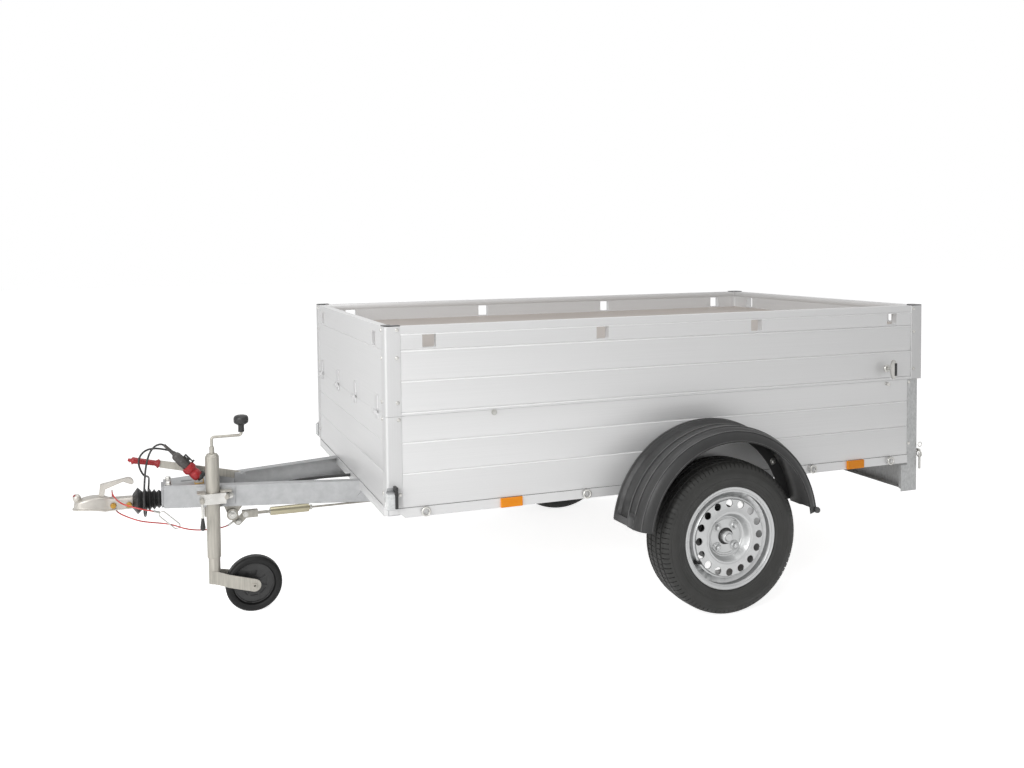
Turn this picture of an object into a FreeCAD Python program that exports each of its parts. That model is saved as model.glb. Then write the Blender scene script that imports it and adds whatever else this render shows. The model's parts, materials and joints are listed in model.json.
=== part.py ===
import FreeCAD, Part
import Sketcher
import math
import operator
import os
from types import SimpleNamespace

# A braked single-axle utility trailer with a hinged hard top lid, parked on its jockey wheel.
# Row frame: +X towards the coupling, +Y to the left, +Z up, origin at the bottom centre of the whole.

DIMENSIONS = {
    # Places along the trailer, measured ahead of or behind the axle
    "box_front_ahead": 1195,
    "box_rear_behind": 972,
    "lid_overhang": 24,
    # Load box
    "box_width": 1320,
    "board_bottom": 462,
    "board_height": 301,
    "board_thick": 30,
    "board_inset": 2,
    "seam_depth": 2,
    "seam_width": 4,
    "lower_seam_one_up": 113,
    "lower_seam_two_up": 215,
    "post_side": 53,
    "post_round": 9,
    "rear_post_side": 47,
    "rear_post_wall": 4,
    "rear_post_drop": 148,
    "gusset_reach": 29,
    "gusset_height": 106,
    "floor_thick": 15,
    "floor_rear_gap": 6,
    # Floor frame
    "rail_height": 34,
    "rail_width": 40,
    "rail_nose_behind": 26,
    "rail_wall": 3,
    "sill_rear_gap": 4,
    "member_two_ahead": 640,
    "member_three_ahead": -60,
    "member_four_ahead": -520,
    # Drawbar
    "drawbar_reach": 672,
    "beam_rear_ahead": -70,
    "beam_front_half": 55,
    "beam_spread_deg": 15,
    "beam_height": 77,
    "beam_width": 40,
    "beam_wall": 3.5,
    "plate_length": 151,
    "plate_thick": 5,
    "plate_hole_behind": 81,
    "plate_hole_long": 26,
    "plate_hole_half": 8,
    "bracket_behind": 44,
    "bracket_long": 55,
    "bracket_high": 60,
    "bracket_thick": 5,
    "mount_front": 52,
    "mount_rear": 77,
    "mount_thick": 4,
    "mount_proud": 13,
    "mount_clear": 5,
    "mount_hole_radius": 5,
    "mount_hole_behind": 59,
    # Axle, hubs and wheels
    "tyre_radius": 273.5,
    "tyre_width": 157,
    "tyre_box_gap": 17,
    "tyre_shoulder": 26,
    "tyre_cheek_height": 47.5,
    "tyre_cheek_in": 9,
    "tyre_foot_in": 27,
    "rim_flange_radius": 183,
    "rim_half_width": 64,
    "rim_wall": 4,
    "rim_seat_radius": 169,
    "rim_well_radius": 148,
    "disc_face_in": 9,
    "disc_bead_radius": 90,
    "disc_weld_in": 47,
    "disc_round": 8,
    "disc_dish": 22,
    "hub_face_in": 34,
    "hub_hole_radius": 30,
    "vent_radius": 13.5,
    "vent_circle": 123,
    "vent_count": 16,
    "wheel_bolt_turn": 45,
    "wheel_bolt_circle": 50,
    "wheel_bolt_radius": 6,
    "wheel_bolt_stand": 13,
    "wheel_bolt_gap": 0.6,
    "wheel_bolt_count": 4,
    "drum_radius": 104,
    "drum_wall": 8,
    "drum_depth": 82,
    "hub_boss_radius": 34,
    "hub_boss_depth": 48,
    "grease_cap_radius": 21,
    "grease_cap_stand": 24,
    "spindle_radius": 17,
    "spindle_gap": 0.08,
    "spindle_end_gap": 3,
    "backplate_radius": 100,
    "backplate_thick": 4,
    "backplate_in": 98,
    "axle_side": 70,
    "axle_wall": 5,
    "axle_ahead": 130,
    "axle_side_in": 54,
    "arm_thick": 18,
    "arm_eye_radius": 30,
    "arm_root_radius": 38,
    # Mudguards
    "guard_centre_ahead": 8,
    "guard_centre_up": 26.5,
    "guard_tyre_gap": 100.5,
    "guard_wall": 4,
    "guard_width": 196,
    "guard_flange": 46,
    "guard_valley": 11,
    "guard_lip": 52,
    "guard_bend": 44,
    "guard_sweep_deg": 167,
    "guard_apron_deg": 4,
    "guard_ridge_deg": 8,
    # Lid
    "lid_seam": 0.5,
    "lid_height": 293.5,
    "lid_top_depth": 77,
    "lid_panel_thick": 12,
    "lid_seam_one_up": 12,
    "lid_seam_two_up": 115,
    "lid_seam_three_down": 78,
    "rim_band": 24,
    "rim_proud": 2,
    "cap_thick": 3,
    "slot_side": 47,
    "slot_foot_down": 73,
    "slot_round": 4,
    "slot_end_in": 150.5,
    "slot_inner_from_middle": 317,
    "slot_side_in": 165,
    # Lid hinges and latches
    "hinge_out": 8,
    "hinge_knuckle": 7,
    "hinge_pin": 3,
    "hinge_pin_gap": 0.1,
    "hinge_leaf": 4,
    "hinge_width": 36,
    "hinge_up": 58,
    "hinge_down": 24,
    "hinge_middle": 14,
    "hinge_side_gap": 1,
    "hinge_inner_half": 170,
    "hinge_side_in": 130,
    "latch_from_rear": 150,
    "latch_up": 49,
    "latch_width": 30,
    "latch_leaf": 4,
    "latch_stem_radius": 5,
    "latch_stem_out": 38,
    "latch_bar_radius": 5,
    "latch_bar_length": 74,
    "latch_bar_long_round": 73.5,
    "keeper_down": 12,
    "keeper_radius": 7,
    "keeper_out": 12,
    # Tailgate
    "tailgate_top_down": 11,
    "tailgate_foot_up": 4,
    "tailgate_side_gap": 5,
    "tailgate_pivot_out": 18,
    "tailgate_pivot_up": 12,
    "tailgate_knuckle": 9,
    "tailgate_knuckle_width": 14,
    "tailgate_pin": 5,
    "tailgate_pin_gap": 0.1,
    "tailgate_lug_width": 12,
    "tailgate_ring": 13,
    "tailgate_ring_wire": 2.5,
    "tailgate_latch_in": 53,
    "tailgate_latch_down": 62,
    "tailgate_leaf_width": 42,
    "tailgate_leaf_height": 36,
    "tailgate_grip_out": 16,
    "fitting_thick": 4,
    # Lamps, reflectors and rings
    "carrier_height": 108,
    "carrier_depth": 38,
    "carrier_wall": 3,
    "lamp_side_gap": 13,
    "lamp_width": 200,
    "lamp_foot_up": 20,
    "lamp_height": 72,
    "lamp_depth": 24,
    "lamp_round": 12,
    "marker_depth": 34,
    "marker_height": 78,
    "marker_foot_down": 8,
    "marker_ahead": 9,
    "marker_lens_long": 25,
    "marker_foot_long": 24,
    "marker_lens_in": 15,
    "marker_round": 6,
    "marker_arm": 4,
    "reflector_front_ahead": 765,
    "reflector_rear_behind": 668,
    "reflector_length": 78,
    "reflector_height": 32,
    "reflector_thick": 8,
    "eye_radius": 13,
    "eye_wire": 3.5,
    "eye_out": 9,
    "eye_one_in": 129,
    "eye_two_ahead": 485,
    "eye_three_ahead": -466,
    "eye_four_in": 136,
    # Overrun unit and coupling
    "overrun_down": 53,
    "overrun_radius": 25,
    "overrun_length": 292,
    "flange_thick": 8,
    "flange_half": 48,
    "flange_round": 12,
    "bellows_reach": 105,
    "bellows_radius": 48,
    "bellows_waist": 26,
    "bellows_cone": 34,
    "bellows_rear_radius": 34,
    "bellows_folds": 4,
    "shank_half": 24,
    "shank_down": 5,
    "head_half": 34,
    "ball_reach": 265,
    "ball_up": 3,
    "ball_radius": 25.4,
    "head_dome_radius": 40,
    "socket_depth": 20,
    "head_crown": 34,
    "head_neck_behind": 70,
    "head_foot_drop": 12,
    "head_skirt": 6,
    "nose_ahead": 20,
    "nose_radius": 10,
    "nose_up": 7,
    "lever_behind": 48,
    "lever_long": 117,
    "lever_high": 59,
    "lever_hook_radius": 20,
    "lever_half": 13,
    "lever_gap": 0.3,
    # Hand brake and rod
    "handle_pivot_behind": 263,
    "handle_pivot_up": 12,
    "handle_bend_reach": 9,
    "handle_bend_up": 74,
    "handle_end_reach": 117,
    "handle_end_up": 100,
    "handle_thick": 8,
    "handle_deep": 26,
    "grip_radius": 15,
    "lug_thick": 5,
    "lug_gap": 0.3,
    "crank_behind": 238,
    "crank_drop": 57,
    "crank_roller": 16,
    "crank_pin_half": 20,
    "crank_lug_back": 22,
    "crank_lug_drop": 33,
    "crank_lug_radius": 13,
    "cheek_front": 98,
    "cheek_rear": 47,
    "clevis_back": 49,
    "clevis_deep": 26,
    "clevis_rod": 46,
    "spring_front_behind": 377,
    "spring_length": 148,
    "spring_radius": 16,
    "rod_drop": 63,
    "rod_radius": 4,
    "equaliser_ahead": 215,
    "equaliser_half": 60,
    "equaliser_thick": 10,
    # Jockey wheel
    "jockey_behind": 164,
    "jockey_beam_gap": 2.0561,
    "jockey_tube_radius": 24,
    "jockey_tube_wall": 3,
    "jockey_tube_bottom": 211,
    "jockey_tube_up": 112,
    "jockey_cone_high": 10,
    "jockey_sleeve_radius": 8.5,
    "jockey_sleeve_length": 25,
    "jockey_gap": 0.4,
    "fork_stem_bottom": 117,
    "jockey_stem_in": 160,
    "fork_gap": 6,
    "fork_thick": 5,
    "fork_eye_radius": 22.5,
    "fork_slope_deg": 16.6,
    "fork_spread_behind": 45,
    "jockey_wheel_radius": 100,
    "jockey_wheel_width": 48,
    "jockey_wheel_trail": 135,
    "jockey_axle_radius": 8,
    "jockey_axle_gap": 0.1,
    "jockey_hub_radius": 20,
    "jockey_rim_radius": 72,
    "jockey_web": 10,
    "jockey_skin": 3,
    "jockey_rim_lip": 4,
    "jockey_window_deg": 16,
    "jockey_window_radius": 46,
    "jockey_spokes": 8,
    "clamp_half_length": 44,
    "clamp_foot_down": 54,
    "clamp_height": 38,
    "clamp_wall": 8,
    "clamp_slack": 0.3,
    "clamp_behind": 90,
    "clamp_lever_reach": 39,
    "clamp_lever_out": 50,
    "clamp_lever_radius": 4.5,
    "clamp_lever_drop": 59,
    "clamp_grip_length": 45,
    "clamp_grip_radius": 9,
    "crank_arm_reach": 103,
    "crank_arm_up": 34,
    "crank_rod_radius": 5,
    "crank_bend": 9,
    "knob_radius": 28,
    "knob_height": 61,
    # Electrical plug and its holder
    "plug_behind": 125,
    "plug_half": 50,
    "plug_foot_up": 22,
    "plug_lean_deg": 42.6,
    "holder_radius": 25,
    "holder_length": 46,
    "holder_post": 9,
    "plug_radius": 22,
    "plug_ring_radius": 26,
    "plug_ring_length": 20,
    "plug_length": 145,
    "gland_radius": 8,
    "gland_length": 26,
    # Loose cables
    "electric_cable_radius": 3.5,
    "breakaway_radius": 2.5,
    "hook_half": 11,
    "hook_wire": 2.5,
    "harness_radius": 6,
    "overrun_cut": 10,
}

doc = FreeCAD.newDocument("UtilityTrailer")
sheet = doc.addObject("Spreadsheet::Sheet", "Sizes")

RULES = {"+": operator.add, "-": operator.sub, "*": operator.mul, "/": operator.truediv}


class Size:
    """A length or angle: its number now, and the expression that ties it to the sheet."""

    def __init__(self, value, text):
        self.value = value
        self.text = text

    def __add__(self, other):
        return joined(self, "+", other)

    def __radd__(self, other):
        return joined(other, "+", self)

    def __sub__(self, other):
        return joined(self, "-", other)

    def __rsub__(self, other):
        return joined(other, "-", self)

    def __mul__(self, other):
        return joined(self, "*", other)

    def __rmul__(self, other):
        return joined(other, "*", self)

    def __truediv__(self, other):
        return joined(self, "/", other)

    def __neg__(self):
        return Size(-self.value, "(-1 * %s)" % self.text)


def sized(thing):
    """A plain number as a Size, and a Size as it is."""
    return thing if isinstance(thing, Size) else Size(float(thing), "(%s)" % repr(float(thing)))


def joined(left, sign, right):
    left = sized(left)
    right = sized(right)
    return Size(RULES[sign](left.value, right.value), "(%s %s %s)" % (left.text, sign, right.text))


def tangent(angle):
    return Size(math.tan(math.radians(angle.value)), "tan(%s)" % angle.text)


def sine(angle):
    return Size(math.sin(math.radians(angle.value)), "sin(%s)" % angle.text)


def cosine(angle):
    return Size(math.cos(math.radians(angle.value)), "cos(%s)" % angle.text)


def fill_sheet():
    """Write every driving dimension into the sheet and return them as Sizes."""
    sizes = {}
    for row, (name, number) in enumerate(DIMENSIONS.items(), start=1):
        sheet.set("A%d" % row, name)
        sheet.set("B%d" % row, str(number))
        sheet.setAlias("B%d" % row, name)
        sizes[name] = Size(float(number), "Sizes." + name)
    doc.recompute()
    return SimpleNamespace(**sizes)


S = fill_sheet()
nodes = {}


def keep(thing, name):
    """Mark a finished sub-part: its label is the name of its file."""
    thing.Label = name
    nodes[name] = thing
    return thing


def tie(thing, prop, size):
    thing.setExpression(prop, sized(size).text)


def place(thing, x, y, z):
    tie(thing, "Placement.Base.x", x)
    tie(thing, "Placement.Base.y", y)
    tie(thing, "Placement.Base.z", z)


def box(name, x, y, z):
    """A block between the pairs x, y and z."""
    block = doc.addObject("Part::Box", name)
    tie(block, "Length", x[1] - x[0])
    tie(block, "Width", y[1] - y[0])
    tie(block, "Height", z[1] - z[0])
    place(block, x[0], y[0], z[0])
    return block


TURNS = {
    "X": FreeCAD.Rotation(FreeCAD.Vector(0, 1, 0), 90),
    "Y": FreeCAD.Rotation(FreeCAD.Vector(1, 0, 0), -90),
    "Z": FreeCAD.Rotation(),
}


def rod(name, axis, radius, span, at):
    """A round bar along an axis, from span[0] to span[1], at the other two coordinates."""
    bar = doc.addObject("Part::Cylinder", name)
    tie(bar, "Radius", radius)
    tie(bar, "Height", span[1] - span[0])
    bar.Placement = FreeCAD.Placement(FreeCAD.Vector(), TURNS[axis])
    spots = list(at)
    spots.insert("XYZ".index(axis), span[0])
    place(bar, *spots)
    return bar


def ring(name, axis, radius, wire, at):
    loop = doc.addObject("Part::Torus", name)
    tie(loop, "Radius1", radius)
    tie(loop, "Radius2", wire)
    loop.Placement = FreeCAD.Placement(FreeCAD.Vector(), TURNS[axis])
    place(loop, *at)
    return loop


def cut(name, base, *tools):
    rest = doc.addObject("Part::Cut", name)
    rest.Base = base
    rest.Tool = tools[0] if len(tools) == 1 else fuse(name + "_tools", *tools)
    return rest


def fuse(name, *pieces):
    whole = doc.addObject("Part::MultiFuse", name)
    whole.Shapes = list(pieces)
    return whole


def common(name, *pieces):
    """What the pieces have in common."""
    shared = doc.addObject("Part::MultiCommon", name)
    shared.Shapes = list(pieces)
    return shared


def together(name, *pieces):
    """Pieces that stay apart but share a node."""
    group = doc.addObject("Part::Compound", name)
    group.Links = list(pieces)
    return group


def mirrored(name, source):
    """The same piece on the other side of the trailer."""
    twin = doc.addObject("Part::Mirroring", name)
    twin.Source = source
    twin.Normal = (0, 1, 0)
    return twin


def arc_edge(first, last, radius):
    """An arc from first to last, its centre to the left for a positive radius and else to the right."""
    across = last - first
    half = across.Length / 2
    left = FreeCAD.Vector(-across.y, across.x, 0).normalize()
    rise = abs(radius) - math.sqrt(max(radius * radius - half * half, 0))
    middle = (first + last) / 2 - left * math.copysign(rise, radius)
    if radius > 0:
        return Part.Arc(first, middle, last)
    return Part.Arc(last, middle, first)


def draw(sketch, outline):
    """A closed outline: points (u, v), or (u, v, radius) where an arc leads to the next point."""
    spots = [FreeCAD.Vector(sized(p[0]).value, sized(p[1]).value, 0) for p in outline]
    starts = []
    for i, point in enumerate(outline):
        after = spots[(i + 1) % len(spots)]
        radius = sized(point[2]).value if len(point) > 2 else 0
        if radius:
            edge = sketch.addGeometry(arc_edge(spots[i], after, radius))
            starts.append((edge, 1, 2) if radius > 0 else (edge, 2, 1))
        else:
            edge = sketch.addGeometry(Part.LineSegment(spots[i], after))
            starts.append((edge, 1, 2))
    for i, (edge, start, end) in enumerate(starts):
        following = starts[(i + 1) % len(starts)]
        sketch.addConstraint(Sketcher.Constraint("Coincident", edge, end, following[0], following[1]))
    for (edge, start, end), spot, point in zip(starts, spots, outline):
        pin_point(sketch, edge, start, spot, point)
        if len(point) > 2:
            size = sized(point[2])
            number = sketch.addConstraint(Sketcher.Constraint("Radius", edge, abs(size.value)))
            sketch.setExpression("Constraints[%d]" % number, "abs(%s)" % size.text)


def draw_path(sketch, path):
    """An open path: points (u, v), or (u, v, radius) where an arc leads to the next point."""
    spots = [FreeCAD.Vector(sized(p[0]).value, sized(p[1]).value, 0) for p in path]
    ends = []
    for spot, after, point in zip(spots, spots[1:], path):
        radius = sized(point[2]).value if len(point) > 2 else 0
        shape = arc_edge(spot, after, radius) if radius else Part.LineSegment(spot, after)
        edge = sketch.addGeometry(shape)
        ends.append((edge, 2, 1) if radius < 0 else (edge, 1, 2))
    for one, two in zip(ends, ends[1:]):
        sketch.addConstraint(Sketcher.Constraint("Coincident", one[0], one[2], two[0], two[1]))
    for (edge, start, _), spot, point in zip(ends, spots, path):
        pin_point(sketch, edge, start, spot, point)
        if len(point) > 2:
            size = sized(point[2])
            number = sketch.addConstraint(Sketcher.Constraint("Radius", edge, abs(size.value)))
            sketch.setExpression("Constraints[%d]" % number, "abs(%s)" % size.text)
    pin_point(sketch, ends[-1][0], ends[-1][2], spots[-1], path[-1])


def pin_point(sketch, edge, end, spot, point):
    for kind, number, size in (("DistanceX", spot.x, point[0]), ("DistanceY", spot.y, point[1])):
        index = sketch.addConstraint(Sketcher.Constraint(kind, -1, 1, edge, end, number))
        sketch.setExpression("Constraints[%d]" % index, sized(size).text)


def draw_circle(sketch, u, v, radius):
    centre = FreeCAD.Vector(sized(u).value, sized(v).value, 0)
    edge = sketch.addGeometry(Part.Circle(centre, FreeCAD.Vector(0, 0, 1), radius.value))
    pin_point(sketch, edge, 3, centre, (u, v))
    number = sketch.addConstraint(Sketcher.Constraint("Radius", edge, radius.value))
    sketch.setExpression("Constraints[%d]" % number, radius.text)


def sketch_on(body, name, plane, shift, outlines):
    """A sketch on one of the body's origin planes, shifted by local x, y and z."""
    sketch = body.newObject("Sketcher::SketchObject", name)
    support = [f for f in body.Origin.OriginFeatures if f.Role == plane + "_Plane"][0]
    sketch.AttachmentSupport = [(support, "")]
    sketch.MapMode = "FlatFace"
    for axis, size in zip("xyz", shift):
        tie(sketch, "AttachmentOffset.Base." + axis, size)
    for outline in outlines:
        if isinstance(outline, Circle):
            draw_circle(sketch, outline.u, outline.v, outline.radius)
        else:
            draw(sketch, outline)
    return sketch


class Circle:
    def __init__(self, u, v, radius):
        self.u = u
        self.v = v
        self.radius = sized(radius)


def level(plane, span):
    """Where a sketch lies along its own normal: the XZ plane looks back along Y."""
    return (0, 0, -span[1]) if plane == "XZ" else (0, 0, span[0])


def pad(name, plane, span, *outlines):
    """A body padded from outlines, between two levels across the plane."""
    body = doc.addObject("PartDesign::Body", name)
    add_pad(body, name + "_pad", plane, span, *outlines)
    return body


def add_pad(body, name, plane, span, *outlines):
    sketch = sketch_on(body, name + "_sketch", plane, level(plane, span), outlines)
    feature = body.newObject("PartDesign::Pad", name)
    feature.Profile = (sketch, [""])
    tie(feature, "Length", span[1] - span[0])
    doc.recompute()
    return feature


def pocket(body, name, plane, span, *outlines):
    """Cut outlines out of a body between two levels across the plane."""
    before = body.Shape.Volume
    sketch = sketch_on(body, name + "_sketch", plane, level(plane, span), outlines)
    feature = body.newObject("PartDesign::Pocket", name)
    feature.Profile = (sketch, [""])
    feature.Reversed = True
    tie(feature, "Length", span[1] - span[0])
    doc.recompute()
    if body.Shape.Volume >= before:
        raise RuntimeError(name + " cuts nothing")
    return feature


AXES = {
    "X": ("XY", "H_Axis"),
    "Y": ("YZ", "H_Axis"),
    "Z": ("XZ", "V_Axis"),
}


def turned(name, axis, at, outline, angle=None):
    """A body turned about an axis through at: outlines give place along the axis and radius."""
    body = doc.addObject("PartDesign::Body", name)
    add_turn(body, name + "_turn", "PartDesign::Revolution", axis, at, outline, angle)
    return body


def add_turn(body, name, kind, axis, at, outline, angle=None):
    plane, line = AXES[axis]
    shift = {"X": (0, at[0], at[1]), "Y": (0, at[1], at[0]), "Z": (at[0], 0, -at[1])}[axis]
    if axis == "Z":
        outline = [(p[1], p[0]) + tuple(p[2:]) for p in outline]
    sketch = sketch_on(body, name + "_sketch", plane, shift, [outline])
    feature = body.newObject(kind, name)
    feature.Profile = (sketch, [""])
    feature.ReferenceAxis = (sketch, [line])
    if angle is None:
        feature.Angle = 360
    else:
        tie(feature, "Angle", angle)
        feature.Midplane = True
    doc.recompute()
    return feature


def pattern(body, name, feature, sketch, count):
    """Repeat a feature round the normal of its sketch."""
    copies = body.newObject("PartDesign::PolarPattern", name)
    copies.Originals = [feature]
    copies.Axis = (sketch, ["N_Axis"])
    copies.Angle = 360
    tie(copies, "Occurrences", count)
    body.Tip = copies
    doc.recompute()
    return copies


def bent_rod(name, y, radius, path):
    """A round bar along a path of (x, z) points in an upright plane, which starts straight up."""
    body = doc.addObject("PartDesign::Body", name)
    line = sketch_on(body, name + "_path", "XZ", (0, 0, -y), [])
    draw_path(line, path)
    section = sketch_on(body, name + "_section", "XY", (0, 0, path[0][1]), [Circle(path[0][0], y, radius)])
    bar = body.newObject("PartDesign::AdditivePipe", name + "_pipe")
    bar.Profile = section
    bar.Spine = line
    doc.recompute()
    return body


def round_box(u, v, radius):
    """A rectangle with rounded corners, between the pairs u and v."""
    return [
        (u[0] + radius, v[0]),
        (u[1] - radius, v[0], radius),
        (u[1], v[0] + radius),
        (u[1], v[1] - radius, radius),
        (u[1] - radius, v[1]),
        (u[0] + radius, v[1], radius),
        (u[0], v[1] - radius),
        (u[0], v[0] + radius, radius),
    ]


# Shares of a length, for outlines
SLOT_ROUND_SHARE = 0.9
CHEEK_ROUND_SHARE = 1.05
BEAD_BACK_SHARE = 0.7
GUARD_BAND_SHARES = (0.1, 0.14, 0.41, 0.47, 0.755, 1)
LEVER_SHARES = [
    (0, 0), (-0.043, 0.71), (-0.803, 1), (-1, 0.66),
    (-0.94, 0.576), (-0.7, 0.797), (-0.197, 0.424), (-0.154, 0),
]
LEVER_HOOK = 2
GRIP_FOOT_SHARES = (1.1, 1.6, 0.6)
GRIP_BELLY_SHARE = 0.7
GRIP_ROUND_SHARE = 1.4
KNOB_WIDTH_SHARES = (0.46, 0.5, 0.9, 1)
KNOB_HEIGHT_SHARES = (0.41, 0.54, 0.72, 0.9)
RUN_SHARE = 0.45

# Main places
half_width = S.box_width / 2
post_inner = half_width - S.rear_post_side
beam_front_ahead = S.box_front_ahead + S.drawbar_reach
ball_ahead = beam_front_ahead + S.ball_reach
nose_ahead = ball_ahead + S.head_dome_radius
rear_behind = S.box_rear_behind + S.tailgate_pivot_out + S.tailgate_knuckle
axle_x = (rear_behind - nose_ahead) / 2
front_x = axle_x + S.box_front_ahead
rear_x = axle_x - S.box_rear_behind
lid_rear_x = rear_x - S.lid_overhang
board_face = half_width - S.board_inset
board_back = half_width - S.board_thick
board_top = S.board_bottom + S.board_height
rail_bottom = S.board_bottom - S.rail_height
front_back_x = front_x - S.board_thick
post_front_x = front_x - S.post_side
post_rear_x = rear_x + S.rear_post_side
rear_post_foot = S.board_bottom - S.rear_post_drop
lower_seams = (S.board_bottom + S.lower_seam_one_up, S.board_bottom + S.lower_seam_two_up)
lid_bottom = board_top + S.lid_seam
lid_top = lid_bottom + S.lid_height
panel_top = lid_top - S.lid_top_depth
lid_post_rear_x = lid_rear_x + S.post_side
lid_middle_x = (front_x + lid_rear_x) / 2
lid_seams = (lid_bottom + S.lid_seam_one_up, lid_bottom + S.lid_seam_two_up, lid_top - S.lid_seam_three_down)
slot_bottom = lid_top - S.slot_foot_down
slot_outer_from_middle = (front_x - lid_rear_x) / 2 - S.slot_end_in
slot_end_half = half_width - S.slot_side_in
beam_top = S.board_bottom
beam_bottom = beam_top - S.beam_height
beam_front_x = axle_x + beam_front_ahead
tailgate_x = rear_x - S.tailgate_pivot_out
tailgate_bottom = S.board_bottom + S.tailgate_foot_up
tailgate_top = board_top - S.tailgate_top_down
tailgate_pivot_z = S.board_bottom + S.tailgate_pivot_up
track_half = half_width + S.tyre_box_gap + S.tyre_width / 2
axle_half_length = half_width - S.axle_side_in
guard_radius = S.tyre_radius + S.guard_tyre_gap
overrun_z = beam_top - S.overrun_down
bellows_end_x = beam_front_x + S.bellows_reach
ball_x = axle_x + ball_ahead
ball_z = overrun_z + S.ball_up
head_bottom = ball_z - S.socket_depth
head_top = ball_z + S.head_crown
rod_z = beam_bottom - S.rod_drop
spring_front_x = beam_front_x - S.spring_front_behind
spring_rear_x = spring_front_x - S.spring_length
jockey_x = beam_front_x - S.jockey_behind
jockey_tube_top = beam_top + S.jockey_tube_up
clamp_bottom = beam_top - S.clamp_foot_down


def plank_wall(outer, inner, bottom, top, seams):
    """The section of a board of joined planks: its outer face is lined with shallow seams."""
    side = 1 if outer.value > inner.value else -1
    points = [(inner, bottom), (outer, bottom)]
    for seam in seams:
        points.append((outer, seam - S.seam_width / 2))
        points.append((outer - side * S.seam_depth, seam))
        points.append((outer, seam + S.seam_width / 2))
    points.append((outer, top))
    points.append((inner, top))
    return points


def rim_wall(outer, inner, bottom, top, seams):
    """A lid board's section: planks below, and a band along its top edge that stands proud."""
    side = 1 if outer.value > inner.value else -1
    points = plank_wall(outer, inner, bottom, top, seams)
    proud = outer + side * S.rim_proud
    points[-2:] = [(outer, top - S.rim_band), (proud, top - S.rim_band), (proud, top), (inner, top)]
    return points


def make_box_walls():
    wall = plank_wall(board_face, board_back, S.board_bottom, board_top, lower_seams)
    left = keep(pad("LeftBoard", "YZ", (post_rear_x, post_front_x), wall), "left_board")
    keep(mirrored("RightBoard", left), "right_board")
    face_x = front_x - S.board_inset
    wall = plank_wall(face_x, front_back_x, S.board_bottom, board_top, lower_seams)
    half = half_width - S.post_side
    keep(pad("FrontBoard", "XZ", (-half, half), wall), "front_board")


def corner_post(name, corner_x, ahead, bottom, top):
    """An angle-shaped corner profile with a rounded outer edge; ahead is 1 at the front and -1 at the rear."""
    long = S.post_side
    deep = S.board_thick
    bend = S.post_round
    outline = [
        (corner_x - ahead * long, half_width),
        (corner_x - ahead * bend, half_width, -ahead * bend),
        (corner_x, half_width - bend),
        (corner_x, half_width - long),
        (corner_x - ahead * deep, half_width - long),
        (corner_x - ahead * deep, half_width - deep),
        (corner_x - ahead * long, half_width - deep),
    ]
    return pad(name, "XY", (bottom, top), outline)


def make_posts():
    front = corner_post("FrontPost", front_x, 1, S.board_bottom, board_top)
    keep(together("FrontPosts", front, mirrored("FrontPostRight", front)), "front_corner_posts")
    side = S.rear_post_side
    wall = S.rear_post_wall
    outer = box("RearPostOuter", (rear_x, rear_x + side), (half_width - side, half_width),
                (rear_post_foot, board_top))
    inner = box("RearPostInner", (rear_x + wall, rear_x + side - wall),
                (half_width - side + wall, half_width - wall),
                (rear_post_foot - S.overrun_cut, board_top + S.overrun_cut))
    hollow = cut("RearPostTube", outer, inner)
    gusset = box("RearPostGusset", (post_rear_x, post_rear_x + S.gusset_reach),
                 (half_width - wall, half_width), (rear_post_foot, rear_post_foot + S.gusset_height))
    post = fuse("RearPost", hollow, gusset)
    keep(together("RearPosts", post, mirrored("RearPostRight", post)), "rear_corner_posts")


def channel(u, v, wall, open_side):
    """A channel section between the pairs u and v, open towards open_side along u."""
    back = u[0] if open_side > 0 else u[1]
    tips = u[1] if open_side > 0 else u[0]
    inner = back + open_side * wall
    return [
        (back, v[0]), (tips, v[0]), (tips, v[0] + wall), (inner, v[0] + wall),
        (inner, v[1] - wall), (tips, v[1] - wall), (tips, v[1]), (back, v[1]),
    ]


def beam_edge(x, inset):
    """How far out the drawbar's outer face lies at x, less an inset."""
    return S.beam_front_half + (beam_front_x - x) * tangent(S.beam_spread_deg) - inset


jockey_y = beam_edge(jockey_x, 0) + S.jockey_beam_gap + S.jockey_tube_radius


def beam_plan(outset, inset, front, rear):
    """The plan of one side of the drawbar between two insets from its outer face."""
    return [
        (front, beam_edge(front, inset)), (front, beam_edge(front, outset)),
        (rear, beam_edge(rear, outset)), (rear, beam_edge(rear, inset)),
    ]


def make_drawbar():
    front = beam_front_x
    rear = axle_x + S.beam_rear_ahead
    wall = S.beam_wall
    beam = pad("Beam", "XY", (beam_bottom, beam_top), beam_plan(0, S.beam_width, front, rear))
    cavity = beam_plan(wall, S.beam_width + S.overrun_cut, front + S.overrun_cut, rear - S.overrun_cut)
    pocket(beam, "BeamCavity", "XY", (beam_bottom + wall, beam_top - wall), cavity)
    whole = fuse("BeamWithBrackets", beam, beam_bracket(), clamp_mount())
    keep(together("Beams", whole, mirrored("BeamRight", whole)), "drawbar_beams")
    plate_rear = front - S.plate_length
    outline = [
        (front, -beam_edge(front, 0)), (front, beam_edge(front, 0)),
        (plate_rear, beam_edge(plate_rear, 0)), (plate_rear, -beam_edge(plate_rear, 0)),
    ]
    plate = pad("TopPlate", "XY", (beam_top, beam_top + S.plate_thick), outline)
    hole_x = front - S.plate_hole_behind
    reach = S.plate_hole_long / 2
    narrow = S.plate_hole_half
    along = (hole_x - reach - narrow, hole_x + reach + narrow)
    slot = round_box(along, (-narrow, narrow), narrow * SLOT_ROUND_SHARE)
    depth = (beam_top - S.overrun_cut, beam_top + S.plate_thick + S.overrun_cut)
    pocket(plate, "TopPlateHole", "XY", depth, slot)
    keep(plate, "drawbar_top_plate")


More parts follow.
